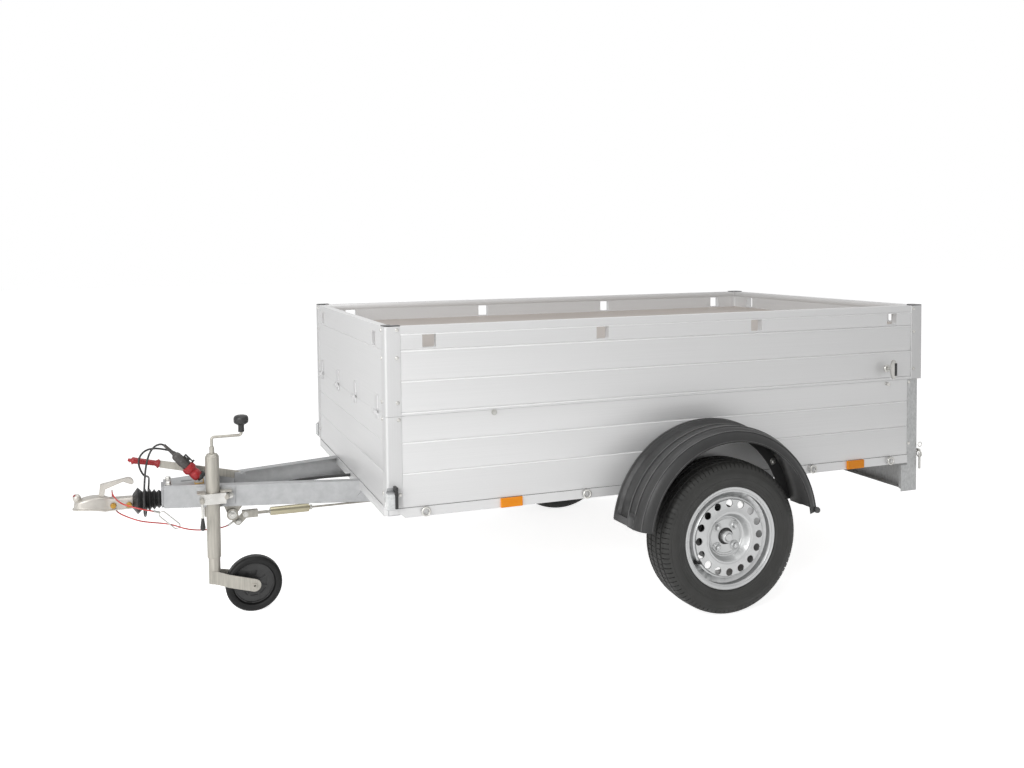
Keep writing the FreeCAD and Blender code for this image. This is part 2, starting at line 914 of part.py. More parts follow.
def beam_bracket():
    """The three-cornered bracket that bolts a beam's outer face to the front of the floor frame."""
    front = front_x - S.bracket_behind + S.bracket_long
    rear = front_x - S.bracket_behind
    sheet_plan = pad("BracketPlan", "XY", (beam_top - S.bracket_high, beam_top),
                     beam_plan(-S.bracket_thick, 0, front, rear))
    corner = S.bracket_thick
    side = pad("BracketSide", "XZ", (0, half_width), [
        (rear, beam_top - S.bracket_high), (front, beam_top - S.bracket_high),
        (front, beam_top - S.bracket_high + corner), (rear + corner, beam_top), (rear, beam_top),
    ])
    return common("Bracket", sheet_plan, side)


def clamp_mount():
    """The plate on the beam's outer face that carries the jockey wheel's clamp."""
    front = jockey_x + S.mount_front
    rear = jockey_x - S.mount_rear
    plan = beam_plan(-S.mount_thick, 0, front, rear)
    level_z = (clamp_bottom - S.mount_proud, clamp_bottom + S.clamp_height + S.mount_proud)
    plate = pad("ClampMount", "XY", level_z, plan)
    notch = rod("ClampMountNotch", "Z", S.jockey_tube_radius + S.mount_clear,
                (level_z[0] - S.overrun_cut, level_z[1] + S.overrun_cut), (jockey_x, jockey_y))
    hole_x = jockey_x - S.mount_hole_behind
    hole = rod("ClampMountHole", "Y", S.mount_hole_radius, (beam_edge(hole_x, S.beam_width), jockey_y),
               (hole_x, clamp_bottom + S.clamp_height / 2))
    return cut("ClampMountCut", plate, notch, hole)


def make_floor_frame():
    floor_rear = rear_x + S.board_thick + S.floor_rear_gap
    level_z = (S.board_bottom, S.board_bottom + S.floor_thick)
    sheet_wood = box("Floor", (floor_rear, front_back_x), (-board_back, board_back), level_z)
    notch = box("FloorNotch", (floor_rear - S.overrun_cut, post_rear_x), (post_inner, half_width), level_z)
    keep(cut("FloorNotched", sheet_wood, notch, mirrored("FloorNotchRight", notch)), "floor_panel")
    section = channel((half_width - S.rail_width, half_width), (rail_bottom, S.board_bottom), S.rail_wall, -1)
    rail_front = front_x - S.rail_nose_behind
    rail = pad("Rail", "YZ", (post_rear_x, rail_front), section)
    slope = rail_front - S.rail_height
    pocket(rail, "RailMitre", "XZ", (half_width - S.rail_width - S.overrun_cut, half_width + S.overrun_cut), [
        (slope, rail_bottom - S.overrun_cut), (rail_front + S.overrun_cut, rail_bottom - S.overrun_cut),
        (rail_front + S.overrun_cut, S.board_bottom - S.rail_wall), (rail_front, S.board_bottom - S.rail_wall),
        (slope, rail_bottom),
    ])
    keep(together("Rails", rail, mirrored("RailRight", rail)), "side_rails")
    swath = pad("BeamSwath", "XY", (beam_bottom, beam_top + S.overrun_cut),
                beam_plan(0, S.beam_width, beam_front_x, axle_x + S.beam_rear_ahead))
    left_swath = fuse("BeamSwathLeft", swath, beam_bracket())
    swaths = fuse("BeamSwaths", left_swath, mirrored("BeamSwathRight", left_swath))
    members = []
    fronts = (
        post_front_x + S.rail_width,
        axle_x + S.member_two_ahead,
        axle_x + S.member_three_ahead,
        axle_x + S.member_four_ahead,
        post_rear_x - S.sill_rear_gap,
    )
    for number, front in enumerate(fronts, start=1):
        half = post_inner if number == len(fronts) else half_width - S.rail_width
        section = channel((front - S.rail_width, front), (rail_bottom, S.board_bottom), S.rail_wall, -1)
        member = pad("Member%d" % number, "XZ", (-half, half), section)
        members.append(cut("Member%dFitted" % number, member, swaths))
    keep(together("Members", *members), "cross_members")


def make_axle():
    half = axle_half_length
    middle_x = axle_x + S.axle_ahead
    side = S.axle_side / 2
    top = beam_bottom
    bottom = top - S.axle_side
    outer = box("AxleOuter", (middle_x - side, middle_x + side), (-half, half), (bottom, top))
    hollow = side - S.axle_wall
    inner = box("AxleInner", (middle_x - hollow, middle_x + hollow),
                (-half - S.overrun_cut, half + S.overrun_cut),
                (bottom + S.axle_wall, top - S.axle_wall))
    keep(cut("AxleBeam", outer, inner), "axle_beam")
    level_y = (half, half + S.arm_thick)
    root_z = (top + bottom) / 2
    arm = pad("SwingArm", "XZ", level_y, arm_outline(middle_x, root_z))
    spindle = rod("Spindle", "Y", S.spindle_radius, (half + S.arm_thick / 2, hub_face - S.spindle_end_gap),
                  (axle_x, S.tyre_radius))
    plate_out = hub_face - S.backplate_in + S.backplate_thick
    plate = rod("BackPlate", "Y", S.backplate_radius, (plate_out - S.backplate_thick, plate_out),
                (axle_x, S.tyre_radius))
    boss = rod("BackPlateBoss", "Y", S.hub_boss_radius, (half + S.arm_thick, plate_out),
               (axle_x, S.tyre_radius))
    side_gear = fuse("ArmWithSpindle", arm, spindle, plate, boss)
    keep(together("Arms", side_gear, mirrored("ArmRight", side_gear)), "swing_arms")


def arm_outline(root_x, root_z):
    """A swing arm seen from the side: two round ends joined by their outer tangents."""
    far = FreeCAD.Vector(axle_x.value - root_x.value, 0, S.tyre_radius.value - root_z.value)
    length = far.Length
    along = far / length
    lean = math.acos((S.arm_root_radius.value - S.arm_eye_radius.value) / length)
    points = []
    for spin in (1, -1):
        turn = FreeCAD.Rotation(FreeCAD.Vector(0, 1, 0), math.degrees(lean) * spin)
        points.append(turn.multVec(along))
    up, down = points
    return [
        (root_x + up.x * S.arm_root_radius, root_z + up.z * S.arm_root_radius),
        (axle_x + up.x * S.arm_eye_radius, S.tyre_radius + up.z * S.arm_eye_radius, -S.arm_eye_radius),
        (axle_x + down.x * S.arm_eye_radius, S.tyre_radius + down.z * S.arm_eye_radius),
        (root_x + down.x * S.arm_root_radius, root_z + down.z * S.arm_root_radius, -S.arm_root_radius),
    ]


rim_out = track_half + S.rim_half_width
hub_face = rim_out - S.hub_face_in


def tyre_outline():
    """Half of the tyre's section mirrored about the track: tread, shoulders, cheeks and beads."""
    inner = track_half - S.tyre_width / 2
    outer = track_half + S.tyre_width / 2
    cheek = S.tyre_radius - S.tyre_cheek_height
    foot = S.tyre_foot_in
    bead = S.rim_seat_radius
    tread = S.tyre_radius
    bend = S.tyre_shoulder
    fall = S.tyre_cheek_in / 3
    crown = S.tyre_width / 3
    flank = (cheek - bead) * CHEEK_ROUND_SHARE
    return [
        (inner + foot, bead), (outer - foot, bead), (outer - foot, S.rim_flange_radius + S.rim_wall, flank),
        (outer, cheek), (outer - fall, tread - bend, bend), (outer - bend, tread - fall),
        (outer - crown, tread), (inner + crown, tread), (inner + bend, tread - fall, bend),
        (inner + fall, tread - bend), (inner, cheek, flank), (inner + foot, S.rim_flange_radius + S.rim_wall),
    ]


def rim_barrel_outline():
    inner = track_half - S.rim_half_width
    outer = rim_out
    wall = S.rim_wall
    step = S.rim_flange_radius - S.rim_seat_radius
    well = S.rim_seat_radius - S.rim_well_radius
    lip = 2 * wall
    return [
        (inner, S.rim_flange_radius), (inner + wall, S.rim_flange_radius),
        (inner + lip, S.rim_seat_radius), (inner + lip + step, S.rim_seat_radius),
        (inner + lip + step + well / 2, S.rim_well_radius),
        (outer - lip - step - well / 2 - lip, S.rim_well_radius),
        (outer - lip - step - lip, S.rim_seat_radius), (outer - lip, S.rim_seat_radius),
        (outer - wall, S.rim_flange_radius), (outer, S.rim_flange_radius),
        (outer, S.rim_flange_radius - wall), (outer - wall, S.rim_seat_radius - wall),
        (outer - lip - step - wall, S.rim_seat_radius - wall),
        (outer - lip - step - well / 2 - wall, S.rim_well_radius - wall),
        (inner + lip + step + well / 2 - wall, S.rim_well_radius - wall),
        (inner + lip + step - wall, S.rim_seat_radius - wall),
        (inner + wall, S.rim_seat_radius - wall), (inner, S.rim_flange_radius - wall),
    ]


def rim_disc_outline():
    """The pressed disc: welded edge, vented face, raised bead and sunk bolting face."""
    face = rim_out - S.disc_face_in
    wall = S.rim_wall
    edge = S.rim_well_radius - wall
    weld = face - S.disc_weld_in
    bead = S.disc_bead_radius
    bore = S.hub_hole_radius
    lap = S.disc_round
    dish = bead - S.disc_dish
    return [
        (weld, edge), (face - lap, edge, lap), (face, edge - lap),
        (face, bead + 2 * lap), (face + wall, bead + wall, lap), (face + wall / 2, bead - wall),
        (hub_face + wall, dish + wall, -lap), (hub_face, dish - wall / 2),
        (hub_face, bore), (hub_face - wall, bore),
        (hub_face - wall, dish), (hub_face, dish + wall + wall / 2),
        (face - wall * BEAD_BACK_SHARE, bead), (face, bead + wall), (face - wall, bead + 2 * lap - wall / 2),
        (face - wall, edge - lap - wall / 2), (face - lap - wall / 2, edge - wall), (weld, edge - wall),
    ]


def make_wheel(side, mirror):
    at = (axle_x, S.tyre_radius)
    tyre = turned(side + "Tyre", "Y", at, tyre_outline())
    rim = turned(side + "Rim", "Y", at, rim_barrel_outline())
    add_turn(rim, side + "RimDisc", "PartDesign::Revolution", "Y", at, rim_disc_outline())
    span = (hub_face - S.overrun_cut, rim_out + S.overrun_cut)
    for label, circle, radius, count in (
            ("Vents", S.vent_circle, S.vent_radius, S.vent_count),
            ("BoltHoles", S.wheel_bolt_circle, S.wheel_bolt_radius + S.wheel_bolt_gap, S.wheel_bolt_count)):
        before = rim.Shape.Volume
        out = circle * cosine(S.wheel_bolt_turn)
        sketch = sketch_on(rim, side + label + "_sketch", "XZ", (axle_x, S.tyre_radius, -span[1]),
                           [Circle(out, circle * sine(S.wheel_bolt_turn), radius)])
        hole = rim.newObject("PartDesign::Pocket", side + label)
        hole.Profile = (sketch, [""])
        hole.Reversed = True
        tie(hole, "Length", span[1] - span[0])
        doc.recompute()
        pattern(rim, side + label + "Pattern", hole, sketch, count)
        if rim.Shape.Volume >= before:
            raise RuntimeError(label + " cut nothing")
    drum = turned(side + "Drum", "Y", at, drum_outline())
    bolt_span = (hub_face - S.rim_wall - S.drum_wall / 2, hub_face + S.wheel_bolt_stand)
    out = S.wheel_bolt_circle * cosine(S.wheel_bolt_turn)
    sketch = sketch_on(drum, side + "Studs_sketch", "XZ", (axle_x, S.tyre_radius, -bolt_span[1]),
                       [Circle(out, S.wheel_bolt_circle * sine(S.wheel_bolt_turn), S.wheel_bolt_radius)])
    stud = drum.newObject("PartDesign::Pad", side + "Studs")
    stud.Profile = (sketch, [""])
    tie(stud, "Length", bolt_span[1] - bolt_span[0])
    doc.recompute()
    pattern(drum, side + "StudsPattern", stud, sketch, S.wheel_bolt_count)
    if mirror:
        keep(mirrored(side + "TyreMirror", tyre), "right_tyre")
        keep(mirrored(side + "RimMirror", rim), "right_rim")
        keep(mirrored(side + "DrumMirror", drum), "right_brake_drum")
    else:
        keep(tyre, "left_tyre")
        keep(rim, "left_rim")
        keep(drum, "left_brake_drum")


def drum_outline():
    """A cup-shaped drum with its hub boss and grease cap."""
    back = hub_face - S.rim_wall
    wall = S.drum_wall
    bore = S.spindle_radius + S.spindle_gap
    mouth = back - S.drum_depth
    cap = S.grease_cap_radius
    boss = back - S.hub_boss_depth
    return [
        (mouth, S.drum_radius), (back, S.drum_radius),
        (back, cap), (hub_face + S.grease_cap_stand - wall, cap, wall),
        (hub_face + S.grease_cap_stand, cap - wall), (hub_face + S.grease_cap_stand, 0),
        (hub_face - S.rim_wall / 2, 0), (hub_face - S.rim_wall / 2, bore),
        (boss, bore), (boss, S.hub_boss_radius),
        (back - wall, S.hub_boss_radius), (back - wall, S.drum_radius - wall),
        (mouth, S.drum_radius - wall),
    ]


def guard_outline():
    """The mudguard's section: flange on the box, crest, sunk band, second crest and a rounded outer wall."""
    y0 = half_width
    r0 = guard_radius
    wall = S.guard_wall
    sunk = S.guard_valley
    foot = r0 - S.guard_lip
    marks = [y0 + S.guard_width * share for share in GUARD_BAND_SHARES]
    crest, fall, rise, second, turn, outer = marks
    lean = wall / 2
    low = r0 - sunk
    high = r0 - sunk / 2
    bend = S.guard_bend
    return [
        (y0, r0 - S.guard_flange), (y0, r0), (crest, r0), (fall, low), (rise, low), (second, high),
        (turn, high, -bend), (outer - wall, foot + 2 * wall), (outer, foot), (outer - wall, foot),
        (outer - 2 * wall, foot + 2 * wall, bend - wall + lean / 2), (turn, high - wall),
        (second + lean, high - wall), (rise + lean, low - wall), (fall - lean, low - wall),
        (crest - lean, r0 - wall), (y0 + wall, r0 - wall), (y0 + wall, r0 - S.guard_flange),
    ]


def make_guards():
    """Each mudguard is one moulding: at its front end the sunk band is closed by a sloping step."""
    at = (axle_x + S.guard_centre_ahead, S.tyre_radius + S.guard_centre_up)
    shell = turned("Guard", "Y", at, guard_outline(), S.guard_sweep_deg)
    y0 = half_width
    r0 = guard_radius
    low = r0 - S.guard_valley - S.guard_wall / 2
    crest, second, turn = [y0 + S.guard_width * GUARD_BAND_SHARES[mark] for mark in (0, 3, 4)]
    half = S.guard_wall / 2
    apron = guard_fill("GuardApron", at, S.guard_apron_deg, [
        (crest - half, low), (crest - half, r0), (second, r0 - S.guard_valley / 2), (second, low)])
    ridge = guard_fill("GuardRidge", at, S.guard_ridge_deg, [
        (second, low), (second, r0 - S.guard_valley / 2), (second + 2 * S.guard_wall, r0 - half),
        (turn, r0 - half), (turn + 2 * S.guard_wall, low)])
    left = fuse("GuardWhole", shell, apron, ridge)
    keep(together("Guards", left, mirrored("GuardRight", left)), "mudguards")


def guard_fill(name, at, sweep, outline):
    """A stretch of the mudguard's outline that starts at its front edge and runs back by the sweep angle."""
    body = turned(name, "Y", (sized(0), sized(0)), outline, sweep)
    middle = S.guard_sweep_deg / 2 - sweep / 2
    turn = FreeCAD.Rotation(FreeCAD.Vector(0, 1, 0), middle.value)
    body.Placement = FreeCAD.Placement(FreeCAD.Vector(), turn)
    place(body, at[0], 0, at[1])
    return body


def make_lid():
    slot = (slot_bottom, slot_bottom + S.slot_side)
    wall = rim_wall(board_face, board_back, lid_bottom, lid_top, lid_seams)
    left = pad("LidLeft", "YZ", (lid_post_rear_x, post_front_x), wall)
    slots = []
    for shift in (slot_outer_from_middle, S.slot_inner_from_middle):
        for sign in (1, -1):
            middle = lid_middle_x + sign * shift
            slots.append(round_box((middle - S.slot_side / 2, middle + S.slot_side / 2), slot, S.slot_round))
    pocket(left, "LidLeftSlots", "XZ", (board_back - S.overrun_cut, half_width + S.overrun_cut), *slots)
    keep(left, "lid_left_board")
    keep(mirrored("LidRight", left), "lid_right_board")
    half = half_width - S.post_side
    ends = []
    for sign in (1, -1):
        middle = sign * slot_end_half
        ends.append(round_box((middle - S.slot_side / 2, middle + S.slot_side / 2), slot, S.slot_round))
    for name, outer, inner, shown in (
            ("LidFront", front_x - S.board_inset, front_back_x, lid_seams[2:]),
            ("LidRear", lid_rear_x + S.board_inset, lid_rear_x + S.board_thick, lid_seams)):
        wall = rim_wall(outer, inner, lid_bottom, lid_top, shown)
        board = pad(name, "XZ", (-half, half), wall)
        low = min((outer, inner), key=lambda size: size.value) - S.overrun_cut
        high = max((outer, inner), key=lambda size: size.value) + S.overrun_cut
        pocket(board, name + "Slots", "YZ", (low, high), *ends)
        keep(board, {"LidFront": "lid_front_board", "LidRear": "lid_rear_board"}[name])
    panel = box("LidPanel", (lid_rear_x + S.board_thick, front_back_x), (-board_back, board_back),
                (panel_top - S.lid_panel_thick, panel_top))
    keep(panel, "lid_top_panel")
    posts = []
    caps = []
    for name, corner, ahead in (("Front", front_x, 1), ("Rear", lid_rear_x, -1)):
        post = corner_post("LidPost" + name, corner, ahead, lid_bottom, lid_top)
        cap = corner_post("LidCap" + name, corner, ahead, lid_top, lid_top + S.cap_thick)
        posts += [post, mirrored("LidPostRight" + name, post)]
        caps += [cap, mirrored("LidCapRight" + name, cap)]
    keep(together("LidPosts", *posts), "lid_corner_posts")
    keep(together("LidCaps", *caps), "lid_post_caps")


hinge_x = front_x + S.hinge_out
hinge_z = board_top + S.lid_seam / 2


def make_hinges():
    """Four butt hinges: the middle knuckle belongs to the lid, the outer ones and the pin to the box."""
    face = front_x - S.board_inset
    upper = []
    lower = []
    side_out = half_width - S.hinge_side_in
    spots = ((1, side_out), (1, S.hinge_inner_half), (-1, S.hinge_inner_half), (-1, side_out))
    for number, (sign, out) in enumerate(spots, start=1):
        y = sign * out
        tag = "Hinge%d" % number
        wide = S.hinge_width / 2
        mid = S.hinge_middle / 2
        clear = S.hinge_side_gap
        leaf = box(tag + "Up", (face, face + S.hinge_leaf), (y - wide, y + wide),
                   (hinge_z + S.hinge_knuckle + clear, hinge_z + S.hinge_up))
        web = box(tag + "UpWeb", (face, hinge_x), (y - mid, y + mid),
                  (hinge_z + S.hinge_pin, hinge_z + S.hinge_knuckle + S.hinge_leaf))
        knuckle = rod(tag + "UpKnuckle", "Y", S.hinge_knuckle, (y - mid, y + mid), (hinge_x, hinge_z))
        bore = rod(tag + "UpBore", "Y", S.hinge_pin + S.hinge_pin_gap,
                   (y - mid - S.overrun_cut, y + mid + S.overrun_cut), (hinge_x, hinge_z))
        upper.append(cut(tag + "UpLeaf", fuse(tag + "UpSolid", leaf, web, knuckle), bore))
        leaf = box(tag + "Down", (face, face + S.hinge_leaf), (y - wide, y + wide),
                   (hinge_z - S.hinge_down, hinge_z - S.hinge_knuckle - clear))
        parts = [leaf, rod(tag + "Pin", "Y", S.hinge_pin, (y - wide, y + wide), (hinge_x, hinge_z))]
        for low, high in ((y - wide, y - mid - clear), (y + mid + clear, y + wide)):
            parts.append(rod(tag + "DownKnuckle", "Y", S.hinge_knuckle, (low, high), (hinge_x, hinge_z)))
            parts.append(box(tag + "DownWeb", (face, hinge_x), (low, high),
                             (hinge_z - S.hinge_knuckle - S.hinge_leaf, hinge_z - S.hinge_pin)))
        lower.append(fuse(tag + "DownLeaf", *parts))
    keep(together("HingesUp", *upper), "lid_hinge_leaves")
    keep(together("HingesDown", *lower), "box_hinge_leaves")


def make_latches():
    """The T-handle turns a cam behind the lid board; the board below carries a round stop."""
    x = rear_x + S.latch_from_rear
    wide = S.latch_width / 2
    stem_z = lid_bottom + S.latch_up
    out = board_face + S.latch_stem_out
    rose = turned("LatchRose", "Y", (x, stem_z), [
        (board_face, 0), (board_face, wide), (board_face + S.latch_leaf, wide),
        (board_face + 2 * S.latch_leaf, wide - S.latch_leaf),
        (board_face + 2 * S.latch_leaf, S.latch_stem_radius),
        (out, S.latch_stem_radius), (out, 0),
    ])
    tall = S.latch_bar_length / 2
    bar = pad("LatchBar", "XZ", (out - S.latch_leaf, out + S.latch_leaf), [
        (x - S.latch_bar_radius, stem_z - tall), (x + S.latch_bar_radius, stem_z - tall, S.latch_bar_long_round),
        (x + S.latch_bar_radius, stem_z + tall), (x - S.latch_bar_radius, stem_z + tall, S.latch_bar_long_round),
    ])
    latch = fuse("Latch", rose, bar)
    keep(together("Latches", latch, mirrored("LatchRight", latch)), "lid_latches")
    keeper = rod("Keeper", "Y", S.keeper_radius, (board_face, board_face + S.keeper_out),
                 (x, board_top - S.keeper_down))
    keep(together("Keepers", keeper, mirrored("KeeperRight", keeper)), "latch_keepers")


def make_tailgate():
    half = post_inner - S.tailgate_side_gap
    outer = rear_x + S.board_inset
    inner = rear_x + S.board_thick
    wall = plank_wall(outer, inner, tailgate_bottom, tailgate_top, lower_seams)
    keep(pad("Tailgate", "XZ", (-half, half), wall), "tailgate_board")
    width = S.tailgate_knuckle_width
    at = (tailgate_x, tailgate_pivot_z)
    knuckle = rod("GateKnuckle", "Y", S.tailgate_knuckle, (half - width, half), at)
    arm = box("GateArm", (tailgate_x, outer), (half - width, half),
              (tailgate_pivot_z, tailgate_pivot_z + S.tailgate_knuckle))
    leaf = box("GateLeaf", (outer - S.fitting_thick, outer), (half - S.tailgate_leaf_width, half),
               (tailgate_pivot_z, tailgate_pivot_z + S.tailgate_leaf_height))
    bore = rod("GateBore", "Y", S.tailgate_pin + S.tailgate_pin_gap,
               (half - width - S.overrun_cut, half + S.overrun_cut), at)
    hinge = cut("GateHinge", fuse("GateHingeSolid", knuckle, arm, leaf), bore)
    hold_z = tailgate_top - S.tailgate_latch_down
    hold_y = post_inner - S.tailgate_latch_in
    wide = S.latch_width
    plate = box("GateLatchPlate", (outer - S.fitting_thick, outer), (hold_y - wide, hold_y + wide),
                (hold_z, hold_z + wide))
    grip = box("GateLatchGrip", (outer - S.tailgate_grip_out, outer - S.fitting_thick),
               (hold_y - wide, hold_y + wide),
               (hold_z + wide / 2 - S.fitting_thick, hold_z + wide / 2 + S.fitting_thick))
    latch = fuse("GateLatch", plate, grip)
    keep(together("GateFittings", hinge, latch, mirrored("GateHingeRight", hinge),
                  mirrored("GateLatchRight", latch)), "tailgate_fittings")
    lug_y = (post_inner + S.tailgate_side_gap, post_inner + S.tailgate_side_gap + S.tailgate_lug_width)
    lug = box("GateLug", (tailgate_x - S.tailgate_knuckle, rear_x), lug_y,
              (tailgate_pivot_z - S.tailgate_knuckle, tailgate_pivot_z + S.tailgate_knuckle))
    pin_end = half_width - S.tailgate_ring_wire
    pin = rod("GatePin", "Y", S.tailgate_pin, (half - width, pin_end), at)
    loop = ring("GateRing", "X", S.tailgate_ring, S.tailgate_ring_wire,
                (tailgate_x, pin_end - S.tailgate_ring_wire,
                 tailgate_pivot_z - S.tailgate_ring - S.tailgate_pin / 2))
    pivot = fuse("GatePivot", lug, pin, loop)
    keep(together("GatePivots", pivot, mirrored("GatePivotRight", pivot)), "tailgate_pivot_pins")


def make_lights():
    section = channel((rear_x, rear_x + S.carrier_depth), (rear_post_foot, rear_post_foot + S.carrier_height),
                      S.carrier_wall, 1)
    keep(pad("LampCarrier", "XZ", (-post_inner, post_inner), section), "rear_lamp_carrier")
    lamp_out = post_inner - S.lamp_side_gap
    lamp_z = rear_post_foot + S.lamp_foot_up
    face = round_box((lamp_out - S.lamp_width, lamp_out), (lamp_z, lamp_z + S.lamp_height), S.lamp_round)
    lamp = pad("RearLamp", "YZ", (rear_x - S.lamp_depth, rear_x), face)
    keep(together("RearLamps", lamp, mirrored("RearLampRight", lamp)), "rear_lamps")
    marker = marker_lamp()
    keep(together("Markers", marker, mirrored("MarkerRight", marker)), "front_marker_lamps")
    reflectors = []
    middle_z = (rail_bottom + S.board_bottom) / 2
    long = S.reflector_length / 2
    tall = S.reflector_height / 2
    for name, x in (("Front", axle_x + S.reflector_front_ahead), ("Rear", axle_x - S.reflector_rear_behind)):
        tile = box("Reflector" + name, (x - long, x + long), (half_width, half_width + S.reflector_thick),
                   (middle_z - tall, middle_z + tall))
        reflectors += [tile, mirrored("ReflectorRight" + name, tile)]
    keep(together("Reflectors", *reflectors), "side_reflectors")
    eyes = []
    places = (front_x - S.eye_one_in, axle_x + S.eye_two_ahead,
              axle_x + S.eye_three_ahead, rear_x + S.eye_four_in)
    for number, x in enumerate(places, 1):
        loop = ring("Eye%d" % number, "Y", S.eye_radius, S.eye_wire, (x, half_width + S.eye_out, middle_z))
        stem = rod("Eye%dStem" % number, "Y", S.eye_wire, (half_width, half_width + S.eye_out),
                   (x, middle_z + S.eye_radius))
        eye = fuse("Eye%dWhole" % number, loop, stem)
        eyes += [eye, mirrored("EyeRight%d" % number, eye)]
    keep(together("Eyes", *eyes), "lashing_eyes")


def marker_lamp():
    """A marker lamp: a tall rubber foot on the corner post, and a rounded lens that looks ahead."""
    front = front_x + S.marker_ahead
    seat = front - S.marker_lens_long
    rear = seat - S.marker_foot_long
    bottom = S.board_bottom - S.marker_foot_down
    top = bottom + S.marker_height
    near = half_width + S.marker_arm
    far = half_width + S.marker_depth
    bend = S.marker_round
    foot = pad("MarkerFoot", "XZ", (half_width, far), round_box((rear, seat), (bottom, top), bend))
    level_z = (bottom + S.marker_lens_in, top - S.marker_lens_in)
    lens = pad("MarkerLens", "XY", level_z, [
        (seat, near), (front - bend, near, bend), (front, near + bend), (front, far - bend, bend),
        (front - bend, far), (seat, far),
    ])
    return fuse("Marker", foot, lens)


def make_overrun():
    z = overrun_z
    front = beam_front_x
    rear = beam_front_x - S.overrun_length
    barrel = rod("OverrunBarrel", "X", S.overrun_radius, (rear, front + S.flange_thick), (0, z))
    half = S.flange_half
    flange = pad("OverrunFlange", "YZ", (front, front + S.flange_thick),
                 round_box((-half, half), (beam_bottom, beam_top), S.flange_round))
    pivot_x = beam_front_x - S.handle_pivot_behind
    inner = S.handle_thick / 2 + S.lug_gap
    lugs = []
    for sign in (1, -1):
        near = sign * inner
        far = sign * (inner + S.lug_thick)
        pair = (near, far) if sign > 0 else (far, near)
        lugs.append(box("HandleLug", (pivot_x - S.handle_deep, pivot_x + S.handle_deep / 2), pair,
                        (z, beam_top + S.handle_pivot_up + S.handle_deep / 3)))
    pin = rod("HandlePin", "Y", S.rod_radius, (-inner - 2 * S.lug_thick, inner + 2 * S.lug_thick),
              (pivot_x - S.handle_deep / 2, beam_top + S.handle_pivot_up))
    keep(fuse("Overrun", barrel, flange, *lugs, pin), "overrun_housing")
    make_bellows(front + S.flange_thick, bellows_end_x, z)


def make_bellows(start, end, z):
    """Pointed folds that grow towards the coupling, where the last one is a wide double cone."""
    folds = int(S.bellows_folds.value)
    mouth = end - S.bellows_cone
    step = (mouth - start) / folds
    grow = (S.bellows_radius - S.bellows_rear_radius) / folds
    points = [(start, 0), (start, S.bellows_waist)]
    for fold in range(folds):
        points.append((start + step * fold + step / 2, S.bellows_rear_radius + grow * fold))
        points.append((start + step * fold + step, S.bellows_waist + grow * fold / 2))
    points.append((mouth + S.bellows_cone / 2, S.bellows_radius))
    points.append((end, S.bellows_waist))
    points.append((end, 0))
    keep(turned("Bellows", "X", (0, z), points), "coupling_bellows")


def make_coupling():
    """A cast ball coupling: square shank, waisted neck, dome over the ball and a flange along its foot."""
    body = doc.addObject("PartDesign::Body", "CouplingHead")
    shank_z = overrun_z - S.shank_down
    shank = S.shank_half
    neck_x = ball_x - S.head_neck_behind
    sections = []
    for name, x, half, bottom, top in (
            ("Rear", bellows_end_x, shank, shank_z - shank, shank_z + shank),
            ("Step", neck_x, shank, shank_z - shank, shank_z + shank),
            ("Neck", neck_x + S.rim_wall, S.head_half,
             head_bottom - S.head_foot_drop, head_top - 2 * S.rim_wall),
            ("Front", ball_x - S.head_dome_radius / 2, S.head_half, head_bottom, head_top - 2 * S.rim_wall)):
        outline = round_box((-half, half), (bottom, top), half / 3)
        sections.append(sketch_on(body, "Coupling" + name, "YZ", (0, 0, x), [outline]))
    neck = body.newObject("PartDesign::AdditiveLoft", "CouplingNeck")
    neck.Profile = sections[0]
    neck.Sections = sections[1:]
    neck.Ruled = True
    doc.recompute()
    dome = S.head_dome_radius
    skirt = S.head_skirt
    add_turn(body, "CouplingDome", "PartDesign::Revolution", "Z", (ball_x, sized(0)), [
        (head_bottom, 0), (head_bottom, dome),
        (head_bottom + skirt, dome), (head_bottom + skirt, dome - skirt / 2),
        (ball_z, dome - skirt / 2, dome), (head_top, dome / 2), (head_top, 0),
    ])
    before = body.Shape.Volume
    add_turn(body, "CouplingSocket", "PartDesign::Groove", "Z", (ball_x, sized(0)), [
        (head_bottom - S.overrun_cut, 0), (head_bottom - S.overrun_cut, S.ball_radius),
        (ball_z, S.ball_radius, S.ball_radius), (ball_z + S.ball_radius, 0),
    ])
    if body.Shape.Volume >= before:
        raise RuntimeError("the ball socket cuts nothing")
    nose = turned("CouplingNose", "Z", (ball_x + S.nose_ahead, sized(0)), [
        (head_top - S.nose_radius, 0), (head_top - S.nose_radius, S.nose_radius),
        (head_top + S.nose_up - S.nose_radius / 2, S.nose_radius, S.nose_radius),
        (head_top + S.nose_up, S.nose_radius / 2), (head_top + S.nose_up, 0),
    ])
    keep(fuse("CouplingWhole", body, nose), "coupling_head")
    half = S.lever_half
    root = ball_x - S.lever_behind
    foot = head_top - 2 * S.rim_wall + S.lever_gap
    run = S.lever_long
    rise = S.lever_high
    profile = [(root + run * u, foot + rise * v) for u, v in LEVER_SHARES]
    profile[LEVER_HOOK] += (S.lever_hook_radius,)
    keep(pad("CouplingLever", "XZ", (-half, half), profile), "coupling_lever")


